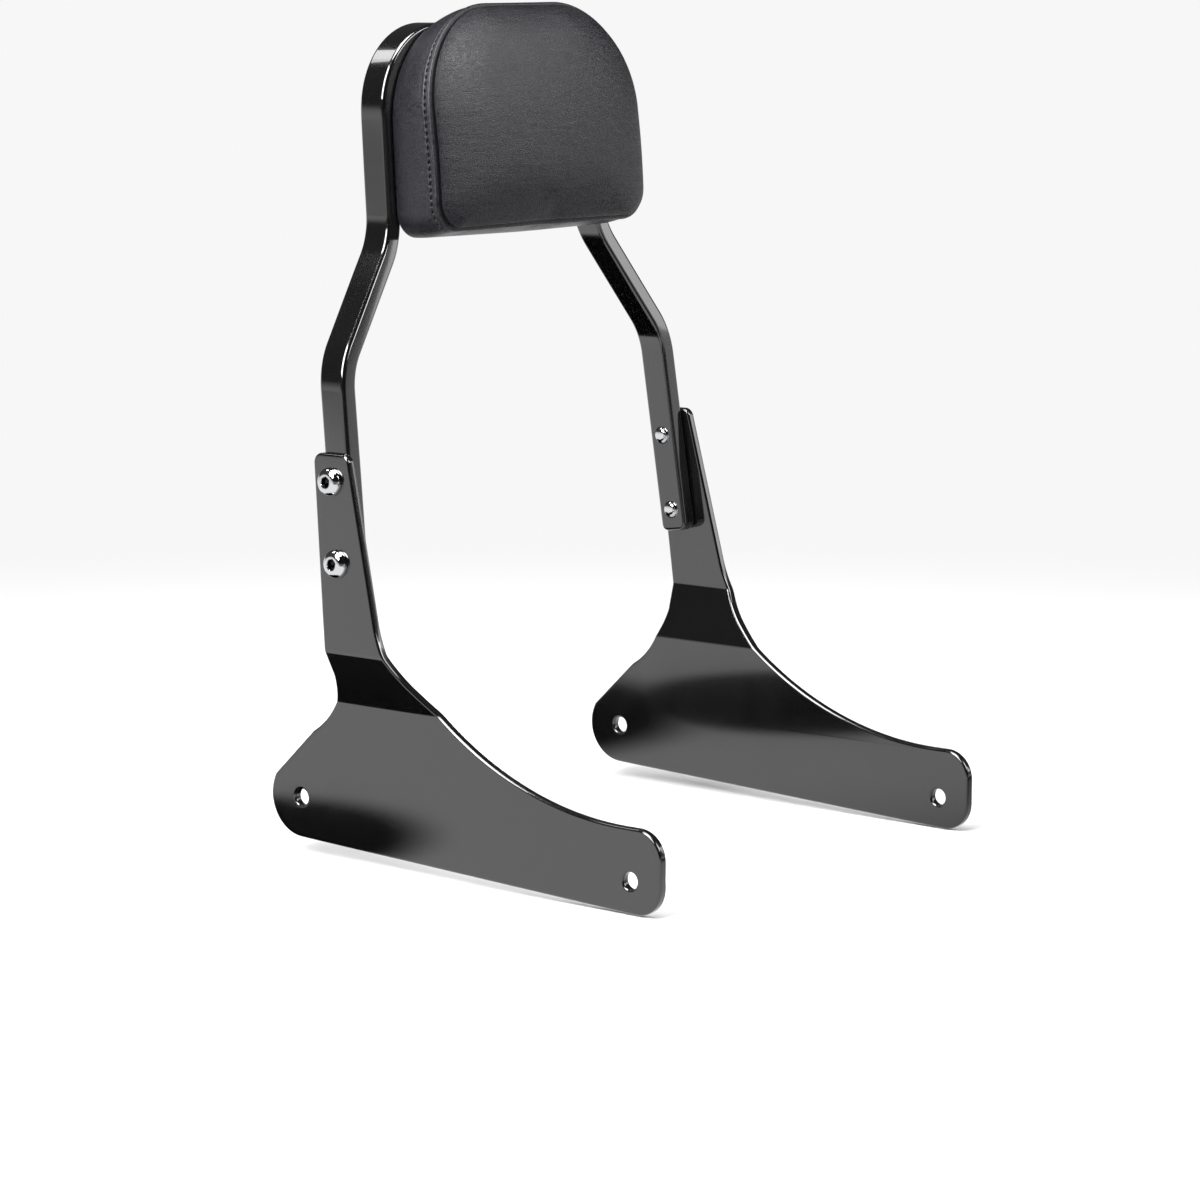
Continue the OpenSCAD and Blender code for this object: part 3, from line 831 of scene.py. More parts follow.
@dataclass
class Hoop:
    """The bent flat bar that carries the pad, with the cross plate welded between its legs."""

    bar_thick: float = 12 * MM
    bar_depth: float = 20 * MM
    bend_radius: float = 46 * MM
    top_radius: float = 50 * MM
    leg_half: float = 155.5 * MM
    top_half: float = 99.5 * MM
    bend_low_z: float = 285 * MM
    bend_up_z: float = 360 * MM
    top_z: float = 491.5 * MM
    leg_end_z: float = 153 * MM
    bend_low_y: float = 233.2 * MM
    splay: float = math.radians(2.4)
    lean_leg: float = math.radians(7.1)
    lean_mid: float = math.radians(8.3)
    lean_top: float = math.radians(3.2)
    lean_blend: float = 12 * MM
    edge_radius: float = 2.6 * MM
    end_radius: float = 5 * MM
    bolt_radius: float = 5 * MM
    bolt_pitch: float = 50 * MM
    bolt_up_z: float = 217 * MM
    cross_height: float = 62 * MM
    cross_thick: float = 4 * MM
    cross_drop: float = 14 * MM
    pad_z: float = 445 * MM
    screw_x: float = 110 * MM
    screw_z: float = 38 * MM
    screw_hole_radius: float = 3.3 * MM
    cross_edge_radius: float = 0.6 * MM
    countersink: float = 0.7 * MM
    weld_radius: float = 2.6 * MM
    weld_short: float = 5 * MM
    puddle: float = 2.4 * MM
    play: float = 0.05 * MM
    square_from: float = 10 * MM
    square_to: float = 50 * MM
    bend_steps: int = 24
    corner_steps: int = 6
    hole_steps: int = 48

    def leg_x(self, z: float | Array, off: float = 0.0) -> float | Array:
        """Distance of a lower leg's middle, or of a face off outside it, from the plane X = 0."""
        return self.leg_half + math.tan(self.splay) * (self.bend_low_z - z) + off / math.cos(self.splay)

    def middle_y(self, z: Array) -> Array:
        """Y of the bar's middle at a height.

        A line whose slope changes at the two bends; each change is spread by half of t plus the root of
        t squared plus the blend squared, where t is the height above the bend.
        """
        def ramp(t: Array) -> Array:
            """A rise that starts softly at 0."""
            return (t + np.sqrt(t * t + self.lean_blend ** 2)) / 2

        slopes = [math.tan(a) for a in (self.lean_leg, self.lean_mid, self.lean_top)]
        low, up = np.asarray(z) - self.bend_low_z, np.asarray(z) - self.bend_up_z
        return (self.bend_low_y + slopes[0] * low + (slopes[1] - slopes[0]) * ramp(low)
                + (slopes[2] - slopes[1]) * ramp(up))

    def lean(self, z: Array) -> Array:
        """Lean of the bar from the vertical at a height, in radians."""
        step = 1e-4
        return np.arctan((self.middle_y(z + step) - self.middle_y(z - step)) / (2 * step))

    def leg_y(self, z: float) -> float:
        """Y of a lower leg's middle at a height."""
        return self.bend_low_y + math.tan(self.lean_leg) * (z - self.bend_low_z)

    def bolt_heights(self) -> dict[Row, float]:
        """Heights of the two bolts of a leg."""
        drop = self.bolt_pitch * math.cos(self.lean_leg) * math.cos(self.splay)
        return {Row.UPPER: self.bolt_up_z, Row.LOWER: self.bolt_up_z - drop}

    def bolt_frame(self, side: Side, z: float) -> Matrix:
        """The frame of a leg bolt: its origin on the leg's middle, its Z axis out of the leg."""
        place = Matrix.Translation((side.value * self.leg_x(z), self.leg_y(z), z))
        return place @ Matrix.Rotation(side.value * (math.pi / 2 - self.splay), 4, "Y")

    def pad_frame(self) -> Matrix:
        """The pad's frame: its back lies in the plane Y = 0, against the bar's front face."""
        rise = math.tan(self.lean_mid) * (self.bend_up_z - self.bend_low_z)
        rise += math.tan(self.lean_top) * (self.pad_z - self.bend_up_z)
        half = self.bar_depth / 2 / math.cos((self.lean_mid + self.lean_top) / 2)
        place = Matrix.Translation((0, self.bend_low_y + rise - half, self.pad_z))
        return place @ Matrix.Rotation(-self.lean_top, 4, "X")

    def front_path(self, spacing: float = 6 * MM) -> tuple[Array, Array]:
        """The bar's middle seen from the front, from the left leg's end over the top to the right's.

        Returns:
            Points as (x, z), and headings in radians.
        """
        half = np.array([
            [self.leg_x(self.leg_end_z), self.leg_end_z],
            [self.leg_half, self.bend_low_z],
            [self.top_half, self.bend_up_z],
            [self.top_half, self.top_z - self.bar_thick / 2]])
        corners = np.concatenate([half, half[::-1] * (-1, 1)])
        radii = [self.bend_radius, self.bend_radius, self.top_radius]
        points, heading = rounded_path(corners, radii + radii[::-1], self.bend_steps)
        return resampled(points, heading, spacing)

    def inside_path(self, spacing: float) -> tuple[Array, Array]:
        """The front path moved to the hoop's inner face, and its headings."""
        points, heading = self.front_path(spacing)
        return points + headings(heading + math.pi / 2) * self.bar_thick / 2, heading

    def section(self, half_u: Array, half_v: Array) -> tuple[Array, Array]:
        """A rounded rectangle for each station: corner arcs of the edge radius, joined by straights.

        Args:
            half_u: Half thickness at each station.
            half_v: Half depth at each station.

        Returns:
            Offsets across the thickness and the depth, stations x points.
        """
        nearly = 0.98
        radius = np.minimum(self.edge_radius, np.minimum(half_u, half_v) * nearly)
        u, v = [], []
        for quarter, (hand_u, hand_v) in enumerate([(1, 1), (-1, 1), (-1, -1), (1, -1)]):
            angle = np.radians(np.linspace(0, 90, self.corner_steps + 1) + 90 * quarter)
            u.append(hand_u * (half_u - radius)[:, None] + radius[:, None] * np.cos(angle))
            v.append(hand_v * (half_v - radius)[:, None] + radius[:, None] * np.sin(angle))
        return np.concatenate(u, axis=1), np.concatenate(v, axis=1)

    def bar_grid(self) -> Array:
        """The bar's surface as stations x section points x 3.

        A section point lies its thickness offset along the path's normal and its depth offset along Y,
        divided by the cosine of the lean. Towards a leg's end the stations turn square to the lean, and
        the section draws in along a quarter circle.
        """
        points, heading = self.front_path()
        far = self.end_radius * (1 - np.cos(np.radians(np.linspace(0, 90, 9))))
        level = self.leg_end_z + far * math.cos(self.lean_leg)
        ends = np.stack([self.leg_x(level), level], axis=-1)
        inner = points[:, 1] > level[-1] + MM
        points, heading = points[inner], heading[inner]
        points = np.concatenate([ends, points, ends[::-1] * (-1, 1)])
        heading = np.concatenate([np.full(len(ends), heading[0]), heading, np.full(len(ends), heading[-1])])
        reach = (points[:, 1] - self.leg_end_z) / math.cos(self.lean_leg)

        def drawn_in(half: float, radius: float) -> Array:
            """Half a side of the section, drawn in by a quarter circle at the leg's end."""
            left = np.clip(radius - reach, 0, radius)
            return half - radius + np.sqrt(radius ** 2 - left ** 2)

        half_u = drawn_in(self.bar_thick / 2, self.edge_radius)
        half_v = drawn_in(self.bar_depth / 2, self.end_radius)
        u, v = self.section(half_u, half_v)
        along, across = headings(heading), headings(heading + math.pi / 2)
        lean = self.lean(points[:, 1])[:, None]
        square = 1 - smooth_step(self.square_from, self.square_to, reach)[:, None]
        hand = np.sign(points[:, :1])
        shift = -v * np.sin(lean) * square * hand
        x = points[:, :1] + across[:, :1] * u + along[:, :1] * shift
        z = points[:, 1:] + across[:, 1:] * u + along[:, 1:] * shift
        y = self.middle_y(z) + v / np.cos(lean)
        return np.stack([x, y, z], axis=-1)

    def build_bar(self) -> bpy.types.Object:
        """The bar itself, with rounded edges and a countersunk threaded hole for each leg bolt."""
        bar, cutters = Shell(), Shell()
        bar.add_tube(self.bar_grid())
        half, sink, beyond = self.bar_thick / 2, self.countersink, 3 * MM
        radius = self.bolt_radius + self.play
        upper = [(radius + sink + beyond, half + beyond), (radius + sink, half), (radius, half - sink)]
        profile = np.array(upper + [(wide, -high) for wide, high in reversed(upper)])
        for side in Side:
            for z in self.bolt_heights().values():
                cutters.add_tube(placed(lathe(profile, self.hole_steps), self.bolt_frame(side, z)))
        mesh = bored(bar.mesh("hoop_bar_rounded"), cutters.mesh("bolt_cutters"))
        return new_piece(mesh, POWDER_COAT, ["hoop_bar"])

    def cross_outline(self) -> Array:
        """The cross plate's outline in the pad's frame, as (x, z): its sides follow the hoop's inside."""
        inside, _ = self.inside_path(2 * MM)
        side_points = 28
        upright = math.cos(self.lean_top)
        low = self.pad_z - (self.cross_drop + self.cross_height / 2) * upright
        level = np.linspace(low, low + self.cross_height * upright, side_points)
        left = inside[inside[:, 0] > 0]
        left = left[np.argsort(left[:, 1])]
        x = np.interp(level, left[:, 1], left[:, 0]) - self.play
        half = np.stack([x, (level - self.pad_z) / upright], axis=-1)
        return clockwise(np.concatenate([half, half[::-1] * (-1, 1)]))

    def screw_spots(self) -> dict[tuple[Side, Row], tuple[float, float]]:
        """Places of the four pad screws on the cross plate, as (x, z) in the pad's frame."""
        return {(side, row): (side.value * self.screw_x / 2, row.value * self.screw_z / 2 - self.cross_drop)
                for side in Side for row in Row}

    def build_cross_plate(self) -> bpy.types.Object:
        """The cross plate with its four screw holes."""
        holes = [arc(spot, self.screw_hole_radius, 0, 360, 40)[:-1] for spot in self.screw_spots().values()]
        slab = Slab(self.cross_outline(), holes, self.cross_thick, self.cross_edge_radius)
        flat = slab.mesh("cross_plate_rounded")
        points = mesh_points(flat)[:, [0, 2, 1]] + (0, self.cross_thick / 2, 0)
        set_mesh_points(flat, placed(points, self.pad_frame()))
        return new_piece(finished_mesh(flat, 35), POWDER_COAT, ["cross_plate"])

    def build_welds(self) -> bpy.types.Object:
        """Two fillet welds behind the cross plate, where it meets the legs.

        Each bead is a circle carried along the hoop's inside; its radius swells and falls with the sine
        of the length, once for each overlapping puddle, and shrinks at both ends.
        """
        shell = Shell()
        step, ripple, outward, rearward, end_length = 0.5 * MM, 0.10, 0.3 * MM, 0.2 * MM, 2 * MM
        inside, heading = self.inside_path(step)
        low = self.pad_z - (self.cross_drop + self.cross_height / 2) + self.weld_short
        high = low + self.cross_height - 2 * self.weld_short
        angle = np.radians(np.arange(0, 360, 22.5))
        for side in Side:
            on = (inside[:, 0] * side.value > 0) & (inside[:, 1] > low) & (inside[:, 1] < high)
            path, across = inside[on], headings(heading[on] + math.pi / 2)
            length = np.arange(len(path)) * step
            swell = 1 + ripple * np.abs(np.sin(math.pi * length / self.puddle))
            taper = np.sqrt(np.clip(np.minimum(length, length[::-1]) / end_length, 0.02, 1))
            radius = (self.weld_radius * swell * taper)[:, None]
            u = outward + radius * np.cos(angle)
            x = path[:, :1] + across[:, :1] * u
            z = path[:, 1:] + across[:, 1:] * u
            rear = self.middle_y(z) - self.bar_depth / 2 + self.cross_thick + rearward
            shell.add_tube(np.stack([x, rear + radius * np.sin(angle), z], axis=-1))
        return new_piece(shell.mesh("cross_plate_welds", 60), POWDER_COAT)

    def build(self) -> None:
        """Builds every piece of the hoop."""
        self.build_bar()
        self.build_cross_plate()
        self.build_welds()


@dataclass
class SidePlate:
    """A jogged side plate: bolted to the outside of a leg, with two mounting holes in its long foot."""

    side: Side
    hoop: Hoop
    thick: float = 6 * MM
    top_z: float = 234.4 * MM
    rear_y: float = 239.7 * MM
    rear_slope: float = 5.5
    front_y: float = 211 * MM
    front_slope: float = 12.9
    corner_radius: float = 6 * MM
    jog_top_z: float = 114.4 * MM
    jog_low_z: float = 80.4 * MM
    jog_in: float = 14.5 * MM
    jog_radius: float = 9 * MM
    sweep_up_radius: float = 80 * MM
    sweep_low_radius: float = 235 * MM
    sweep_joint: float = 47.0
    tip_top_z: float = 31.5 * MM
    tip_reach: float = 23 * MM
    tip_radius: float = 18 * MM
    tip_low: float = 20 * MM
    hollow_radius: float = 50 * MM
    hollow_z: float = 98 * MM
    hollow_end: float = 60.0
    mount_y: float = 262 * MM
    mount_z: float = 16 * MM
    lobe_radius: float = 25.4 * MM
    mount_hole_radius: float = 5.25 * MM
    bolt_clearance: float = 0.3 * MM
    edge_radius: float = 1.5 * MM
    bend_steps: int = 10
    depth_steps: int = 6

    def outline(self) -> Array:
        """The plate seen from the side, as (y, z): arcs joined by straight edges."""
        front, joint = math.radians(self.front_slope), math.radians(self.sweep_joint)
        sweep_z = (self.tip_top_z + self.sweep_low_radius * (1 - math.sin(joint))
                   + self.sweep_up_radius * (math.sin(joint) - math.sin(front)))
        sweep_y = self.front_y - math.tan(front) * (self.top_z - sweep_z)
        middle_y = sweep_y - self.sweep_up_radius * math.cos(front)
        low_y = middle_y + self.sweep_up_radius * math.cos(joint) - self.sweep_low_radius * math.cos(joint)
        rear = math.radians(self.rear_slope)
        hollow_y = self.rear_y - math.tan(rear) * (self.top_z - self.hollow_z)
        rise = math.degrees(math.atan2(self.mount_z, self.mount_y))
        corner = self.corner_radius
        tip_y = self.tip_radius - self.tip_reach
        return clockwise(np.concatenate([
            arc((self.front_y + corner, self.top_z - corner), corner, 90, 180 - self.front_slope, 12),
            arc((middle_y, sweep_z + self.sweep_up_radius * math.sin(front)), self.sweep_up_radius,
                -self.front_slope, -self.sweep_joint, 40),
            arc((low_y, self.tip_top_z + self.sweep_low_radius), self.sweep_low_radius,
                -self.sweep_joint, -90, 80)[1:],
            arc((tip_y, self.tip_top_z - self.tip_radius), self.tip_radius, 90, 180, 20),
            arc((tip_y, self.tip_radius - self.tip_low), self.tip_radius, 180, 270, 20),
            arc((self.mount_y, self.mount_z), self.lobe_radius, rise - 90, 90 - self.hollow_end, 40),
            arc((hollow_y + self.hollow_radius * math.cos(rear),
                 self.hollow_z + self.hollow_radius * math.sin(rear)), self.hollow_radius,
                180 + self.hollow_end, 180 + self.rear_slope, 40),
            arc((self.rear_y - corner, self.top_z - corner), corner, -self.rear_slope, 90, 12)]))

    def bend_path(self) -> tuple[Array, Array]:
        """The plate's middle seen from the front, from above its top edge down past its foot."""
        out = (self.hoop.bar_thick + self.thick) / 2
        jog_x = self.hoop.leg_x(self.jog_top_z, out)
        beyond = 20 * MM
        corners = np.array([
            [self.hoop.leg_x(self.top_z + beyond, out), self.top_z + beyond],
            [jog_x, self.jog_top_z],
            [jog_x - self.jog_in, self.jog_low_z],
            [jog_x - self.jog_in, -self.tip_low - beyond]])
        return rounded_path(corners, [self.jog_radius, self.jog_radius], self.bend_steps)

    def bent(self, across: Array, z: Array) -> Array:
        """X of points of the bent sheet.

        For each of a few depths in the sheet the bent middle line is offset along its normal, its X is
        read at the points' heights, and the readings are blended by the points' own depths.

        Args:
            across: Depth of each point from the sheet's middle, outward.
            z: Height of each point.

        Returns:
            X of each point, on the left side.
        """
        path, heading = self.bend_path()
        outward = headings(heading + math.pi / 2)
        depths = np.linspace(-self.thick / 2, self.thick / 2, self.depth_steps + 1)
        lines = path[None] + depths[:, None, None] * outward[None]
        x = np.stack([np.interp(z, line[::-1, 1], line[::-1, 0]) for line in lines])
        spot = np.clip((across + self.thick / 2) / self.thick, 0, 1) * (len(depths) - 1)
        low = np.minimum(spot.astype(int), len(depths) - 2)
        part = spot - low
        index = np.arange(len(z))
        return x[low, index] * (1 - part) + x[low + 1, index] * part

    def build(self) -> bpy.types.Object:
        """The plate, cut flat, split at the bends' heights and folded."""
        hoop = self.hoop
        holes = [arc(place, self.mount_hole_radius, 0, 360, 48)[:-1]
                 for place in ((0, 0), (self.mount_y, self.mount_z))]
        for z in hoop.bolt_heights().values():
            holes.append(arc((hoop.leg_y(z), z + math.tan(hoop.splay) * hoop.bar_thick / 2),
                             hoop.bolt_radius + self.bolt_clearance, 0, 360, 32)[:-1])
        node = node_name("side_plate", self.side)
        mesh = Slab(self.outline(), holes, self.thick, self.edge_radius).mesh(node + "_rounded")
        path, _ = self.bend_path()
        work = bmesh.new()
        work.from_mesh(mesh)
        for height in path[1:-1, 1]:
            everything = list(work.verts) + list(work.edges) + list(work.faces)
            bmesh.ops.bisect_plane(work, geom=everything, dist=1e-7, plane_co=(0, height, 0),
                                   plane_no=(0, 1, 0))
        work.to_mesh(mesh)
        work.free()
        flat = mesh_points(mesh)
        x = self.side.value * self.bent(flat[:, 2], flat[:, 1])
        set_mesh_points(mesh, np.stack([x, flat[:, 0], flat[:, 1]], axis=-1))
        return new_piece(finished_mesh(mesh, 40), POWDER_COAT, [node])


@dataclass
class ButtonScrew:
    """A button-head screw with a hex socket and a thread, standing on Z = 0 under its head."""

    shank_radius: float
    shank_length: float
    head_radius: float
    head_height: float
    socket_width: float
    socket_depth: float
    pitch: float
    thread_length: float
    segments: int = 96
    rim_share: float = 0.14
    land_share: float = 0.72
    thread_share: float = 0.3025
    dome_share: float = 0.28

    def head_profile(self) -> Array:
        """The head's half section: a small rounded rim, then a quarter ellipse up to the socket."""
        rim = self.rim_share * self.head_height
        flat = self.socket_width * self.land_share
        angle = np.radians(np.linspace(0, 90, 15))
        dome = np.stack([flat + (self.head_radius - flat) * np.cos(angle),
                         rim + (self.head_height - rim) * np.sin(angle)], axis=-1)
        under = np.array([[self.shank_radius, 0.0], [self.head_radius - rim * 0.5, 0.0],
                          [self.head_radius, rim * 0.5]])
        return np.concatenate([under, dome])

    def socket_profile(self) -> Array:
        """The socket's half section as (share of the hexagon's radius, height)."""
        top, floor = self.head_height, self.head_height - self.socket_depth
        return np.array([[1.10, top], [1.0, top - 0.1 * self.socket_depth], [1.0, floor],
                         [0.55, floor - 0.12 * self.socket_depth], [0.05, floor - 0.25 * self.socket_depth]])

    def shank_profile(self) -> Array:
        """The shank from its domed end up: a zigzag thread, then a plain length."""
        end = -self.shank_length
        radius = self.shank_radius
        angle = np.radians(np.linspace(0, 90, 9))
        dome_height = self.dome_share * radius
        core = radius - self.thread_share * self.pitch
        dome = np.stack([core * np.sin(angle), end + dome_height * (1 - np.cos(angle))], axis=-1)
        dome[0, 0] = core * 0.02
        start = end + dome_height
        turns = int(self.thread_length / self.pitch)
        base = start + np.arange(turns)[:, None] * self.pitch
        shape = np.array([[core, 0.10], [radius, 0.42], [radius, 0.58], [core, 0.90]])
        height = base + shape[None, :, 1] * self.pitch
        ridge = np.stack([np.broadcast_to(shape[:, 0], height.shape), height], axis=-1)
        plain = np.array([[radius, start + (turns + 0.2) * self.pitch], [radius, 0.0]])
        return np.concatenate([dome, ridge.reshape(-1, 2), plain])

    def mesh(self, name: str, frame: Matrix, turn: float) -> bpy.types.Mesh:
        """One screw, with the points of its socket marked as a recess for painted shade.

        Args:
            name: Name of the mesh.
            frame: Place of the seat under its head, with Z out of the head.
            turn: Angle of its socket in radians.

        Returns:
            The new mesh.
        """
        shell = Shell()
        spin = frame @ Matrix.Rotation(turn, 4, "Z")
        outer = np.concatenate([self.shank_profile()[:-1], self.head_profile()])
        body = lathe(outer, self.segments)

        def hexagon(radius: Array, angle: Array) -> Array:
            """A hexagon that the share of its radius scales, and that rounds off past a share of 1."""
            sixth = math.pi / 3
            flat = self.socket_width / 2 / np.cos((angle % sixth) - sixth / 2)
            round_part = np.clip((radius - 1.0) / 0.1, 0, 1)
            circle = self.socket_width / 2 / math.cos(sixth / 2) * radius
            return flat * radius * (1 - round_part) + circle * round_part

        socket = lathe(self.socket_profile(), self.segments, hexagon)
        grid = placed(np.concatenate([body, socket]), spin)
        shell.add_tube(grid)
        mesh = shell.mesh(name, 30)
        # the socket's points are marked for the plating's painted shade
        recess = np.repeat(np.arange(len(grid)) > len(body), self.segments)
        mark_points(mesh, "recess", np.concatenate([recess, [0, 1]]))
        return mesh


@dataclass
class Fasteners:
    """Every bolt and screw, each in place on the hoop."""

    hoop: Hoop
    plate_thick: float = 6 * MM
    stud_out: float = 2.6 * MM
    washer_thick: float = 1.6 * MM

    def build_leg_bolts(self) -> None:
        """The four chromed bolts through the side plates."""
        seat = self.hoop.bar_thick / 2 + self.plate_thick
        length = seat + self.hoop.bar_thick / 2 + self.stud_out
        screw = ButtonScrew(shank_radius=self.hoop.bolt_radius, shank_length=length, head_radius=8.75 * MM,
                            head_height=5.5 * MM, socket_width=6 * MM, socket_depth=3 * MM,
                            pitch=1.5 * MM, thread_length=10 * MM)
        for side in Side:
            for row, z in self.hoop.bolt_heights().items():
                place = self.hoop.bolt_frame(side, z) @ Matrix.Translation((0, 0, seat))
                self.build_screw(screw, "leg_bolt", side, row, place, (0.90, 0.55, 0.6))

    def build_pad_screws(self) -> None:
        """The four screws that hold the pad, seen behind the cross plate."""
        screw = ButtonScrew(shank_radius=3 * MM, shank_length=16 * MM, head_radius=5.25 * MM,
                            head_height=3.3 * MM, socket_width=4 * MM, socket_depth=2 * MM,
                            pitch=1 * MM, thread_length=10 * MM, segments=72)
        seat = self.hoop.cross_thick + self.washer_thick
        rearward = Matrix.Rotation(-math.pi / 2, 4, "X")
        for (side, row), (x, z) in self.hoop.screw_spots().items():
            place = self.hoop.pad_frame() @ Matrix.Translation((x, seat, z)) @ rearward
            self.build_screw(screw, "pad_screw", side, row, place, (0.65, 0.45, 0.5))

    @staticmethod
    def build_screw(screw: ButtonScrew, kind: str, side: Side, row: Row, place: Matrix,
                    turns: tuple[float, float, float]) -> None:
        """Puts a screw in the place of its construction node, its socket turned unlike its neighbours'.

        Args:
            screw: The screw.
            kind: Start of the node's name.
            side: Its side.
            row: Its row.
            place: Place of the seat under its head.
            turns: The socket's mean turn, and how far the side and the row change it, in radians.
        """
        node = node_name(kind, side, row)
        turn = turns[0] + turns[1] * side.value + turns[2] * row.value
        new_piece(screw.mesh(node + "_turned", place, turn), CHROME, [node])

    def build(self) -> None:
        """Builds them all."""
        self.build_leg_bolts()
        self.build_pad_screws()


@dataclass
class Pad:
    """The backrest pad: a crowned front, a side band and a turned-in back, sewn at a front seam."""

    frame: Matrix
    width: float = 198.4 * MM
    height: float = 136.5 * MM
    below: float = 80 * MM
    rake: float = 5.5 * MM
    seam: float = 35.4 * MM
    taper: float = 5.7 * MM
    arch: float = 4.4 * MM
    crown: float = 8 * MM
    top_radius: float = 67 * MM
    low_radius: float = 17 * MM
    back_radius: float = 3 * MM
    bulge: float = 1.6 * MM
    turn_in: float = 14 * MM
    stitch_back: float = 5.7 * MM
    stitches: int = 138
    groove: float = 3.6 * MM
    hole_depth: float = 1.1 * MM
    hole_half: float = 0.7 * MM
    face_start: float = 0.990
    columns: int = 414
    puff: float = 3 * MM
    frames: int = 20
    reach: float = 5 * MM
    voxel: float = 4.5 * MM
    wall: float = 1.2 * MM
    stitch_radius: float = 0.34 * MM
    stitch_half: float = 0.23
    stitch_rise: float = 0.10 * MM
    strip_height: float = 1.0 * MM
    stitch_groove: float = 0.7 * MM

    def outline(self, inset: float, columns: int) -> Array:
        """The pad's outline as (x, z), evenly spaced: four corner arcs drawn in by the inset."""
        w, top, low = self.width / 2, self.height - self.below, -self.below
        left = np.concatenate([
            arc((self.low_radius - w, low + self.low_radius), self.low_radius - inset, 270, 180, 30),
            arc((self.top_radius - w, top - self.top_radius), self.top_radius - inset, 180, 90, 60)])
        start = np.array([[0.0, low + inset]])
        ring = np.concatenate([start, left, left[::-1] * (-1, 1), start])
        length = run_lengths(ring)
        return read_at(np.linspace(0, length[-1], columns, endpoint=False), length, ring)

    def seam_depth(self, z: Array) -> Array:
        """Depth of the front seam at a height.

        With v running from -1 at the bottom to 1 at the top, it is the seam's depth at half height less
        the taper times v and the arch times v squared.
        """
        half = self.height / 2
        v = (z + self.below - half) / half
        return self.seam - self.taper * v - self.arch * v * v

    def section(self, detailed: bool) -> Array:
        """The side's section as rows of (inset, depth), from the turned-in edge round to the seam.

        The back edge is a quarter circle. The band bulges by 4u(1-u) of its share u of the way. Where
        the detail is wanted, a shallow groove for the stitches, a raised strip beside the seam and the
        seam's own deep groove are added as bell curves of the depth.
        """
        r = self.back_radius
        angle = np.radians(np.linspace(0, 90, 9))
        edge = np.stack([r - r * np.sin(angle), r - r * np.cos(angle)], axis=-1)
        back = np.concatenate([[[self.turn_in, 0.0]], edge])
        rows, crowding = 90 if detailed else 12, 1.6
        u = 1 - (1 - np.linspace(0, 1, rows)[1:]) ** crowding
        depth = r + (self.seam - r) * u
        inset = -self.bulge * 4 * u * (1 - u)
        if detailed:
            groove_half, strip_half, seam_half = 0.8 * MM, 2.1 * MM, 0.75 * MM
            line = self.seam - self.stitch_back
            stitched = np.exp(-((depth - line) / groove_half) ** 2)
            strip = np.exp(-((depth - (line + self.seam) / 2) / strip_half) ** 4)
            seam = np.exp(-((depth - self.seam) / seam_half) ** 2)
            inset = inset + self.stitch_groove * stitched - self.strip_height * strip + self.groove * seam
        return np.concatenate([back, np.stack([inset, depth], axis=-1)])

    def side_depth(self, depth: float, z: Array) -> Array:
        """Depth of a point of the side: past the back edge it scales with the seam's depth at its height."""
        r = self.back_radius
        return depth - max(depth - r, 0) * (self.seam - self.seam_depth(z)) / (self.seam - r)

    def grid(self, columns: int, detailed: bool) -> Array:
        """The whole cover as rows x columns x 3 in the pad's frame, from the back edge to the middle.

        Each row is the outline drawn in by the section's inset, dropped by the rake where it lies nearer
        to the back. Each needle hole is a dimple, a bell curve of the distance from the stitch line. Past
        the seam the outline shrinks by k towards the middle of the face, and stands proud of the seam's
        depth at its height by the crown times (1 - k cubed) to the power 0.6.
        """
        rows = []
        line, pitch = self.seam - self.stitch_back, columns // self.stitches
        for inset, depth in self.section(detailed):
            ring = self.outline(inset, columns)
            if detailed:
                sunk = self.hole_depth * math.exp(-((depth - line) / self.hole_half) ** 2)
                ring[::pitch] = self.outline(inset + sunk, columns)[::pitch]
            z = ring[:, 1] - self.rake * (1 - depth / self.seam)
            rows.append(np.stack([ring[:, 0], -self.side_depth(depth, z), z], axis=-1))
        ring = self.outline(0, columns)
        middle = np.array([0.0, self.height / 2 - self.below])
        face_rows, crowding = 64 if detailed else 12, 1.8
        share = 1 - np.linspace(0, 1, face_rows)[1:-1] ** crowding
        for k in share * (self.face_start if detailed else 1.0):
            spot = middle + (ring - middle) * k
            proud = self.seam_depth(spot[:, 1]) + self.crown * (1 - k ** 3) ** 0.6
            rows.append(np.stack([spot[:, 0], -proud, spot[:, 1]], axis=-1))
        return np.stack(rows)

    def closed_shell(self, grid: Array, back_closed: bool) -> Shell:
        """A shell of the cover, with the middle of its front closed and, if asked, its back too."""
        shell = Shell()
        columns = grid.shape[1]
        first = shell.add_grid(grid)
        shell.add_fan(first + (len(grid) - 1) * columns, columns, grid[-1].mean(axis=0))
        if back_closed:
            shell.add_fan(first, columns, grid[0].mean(axis=0))
        return shell

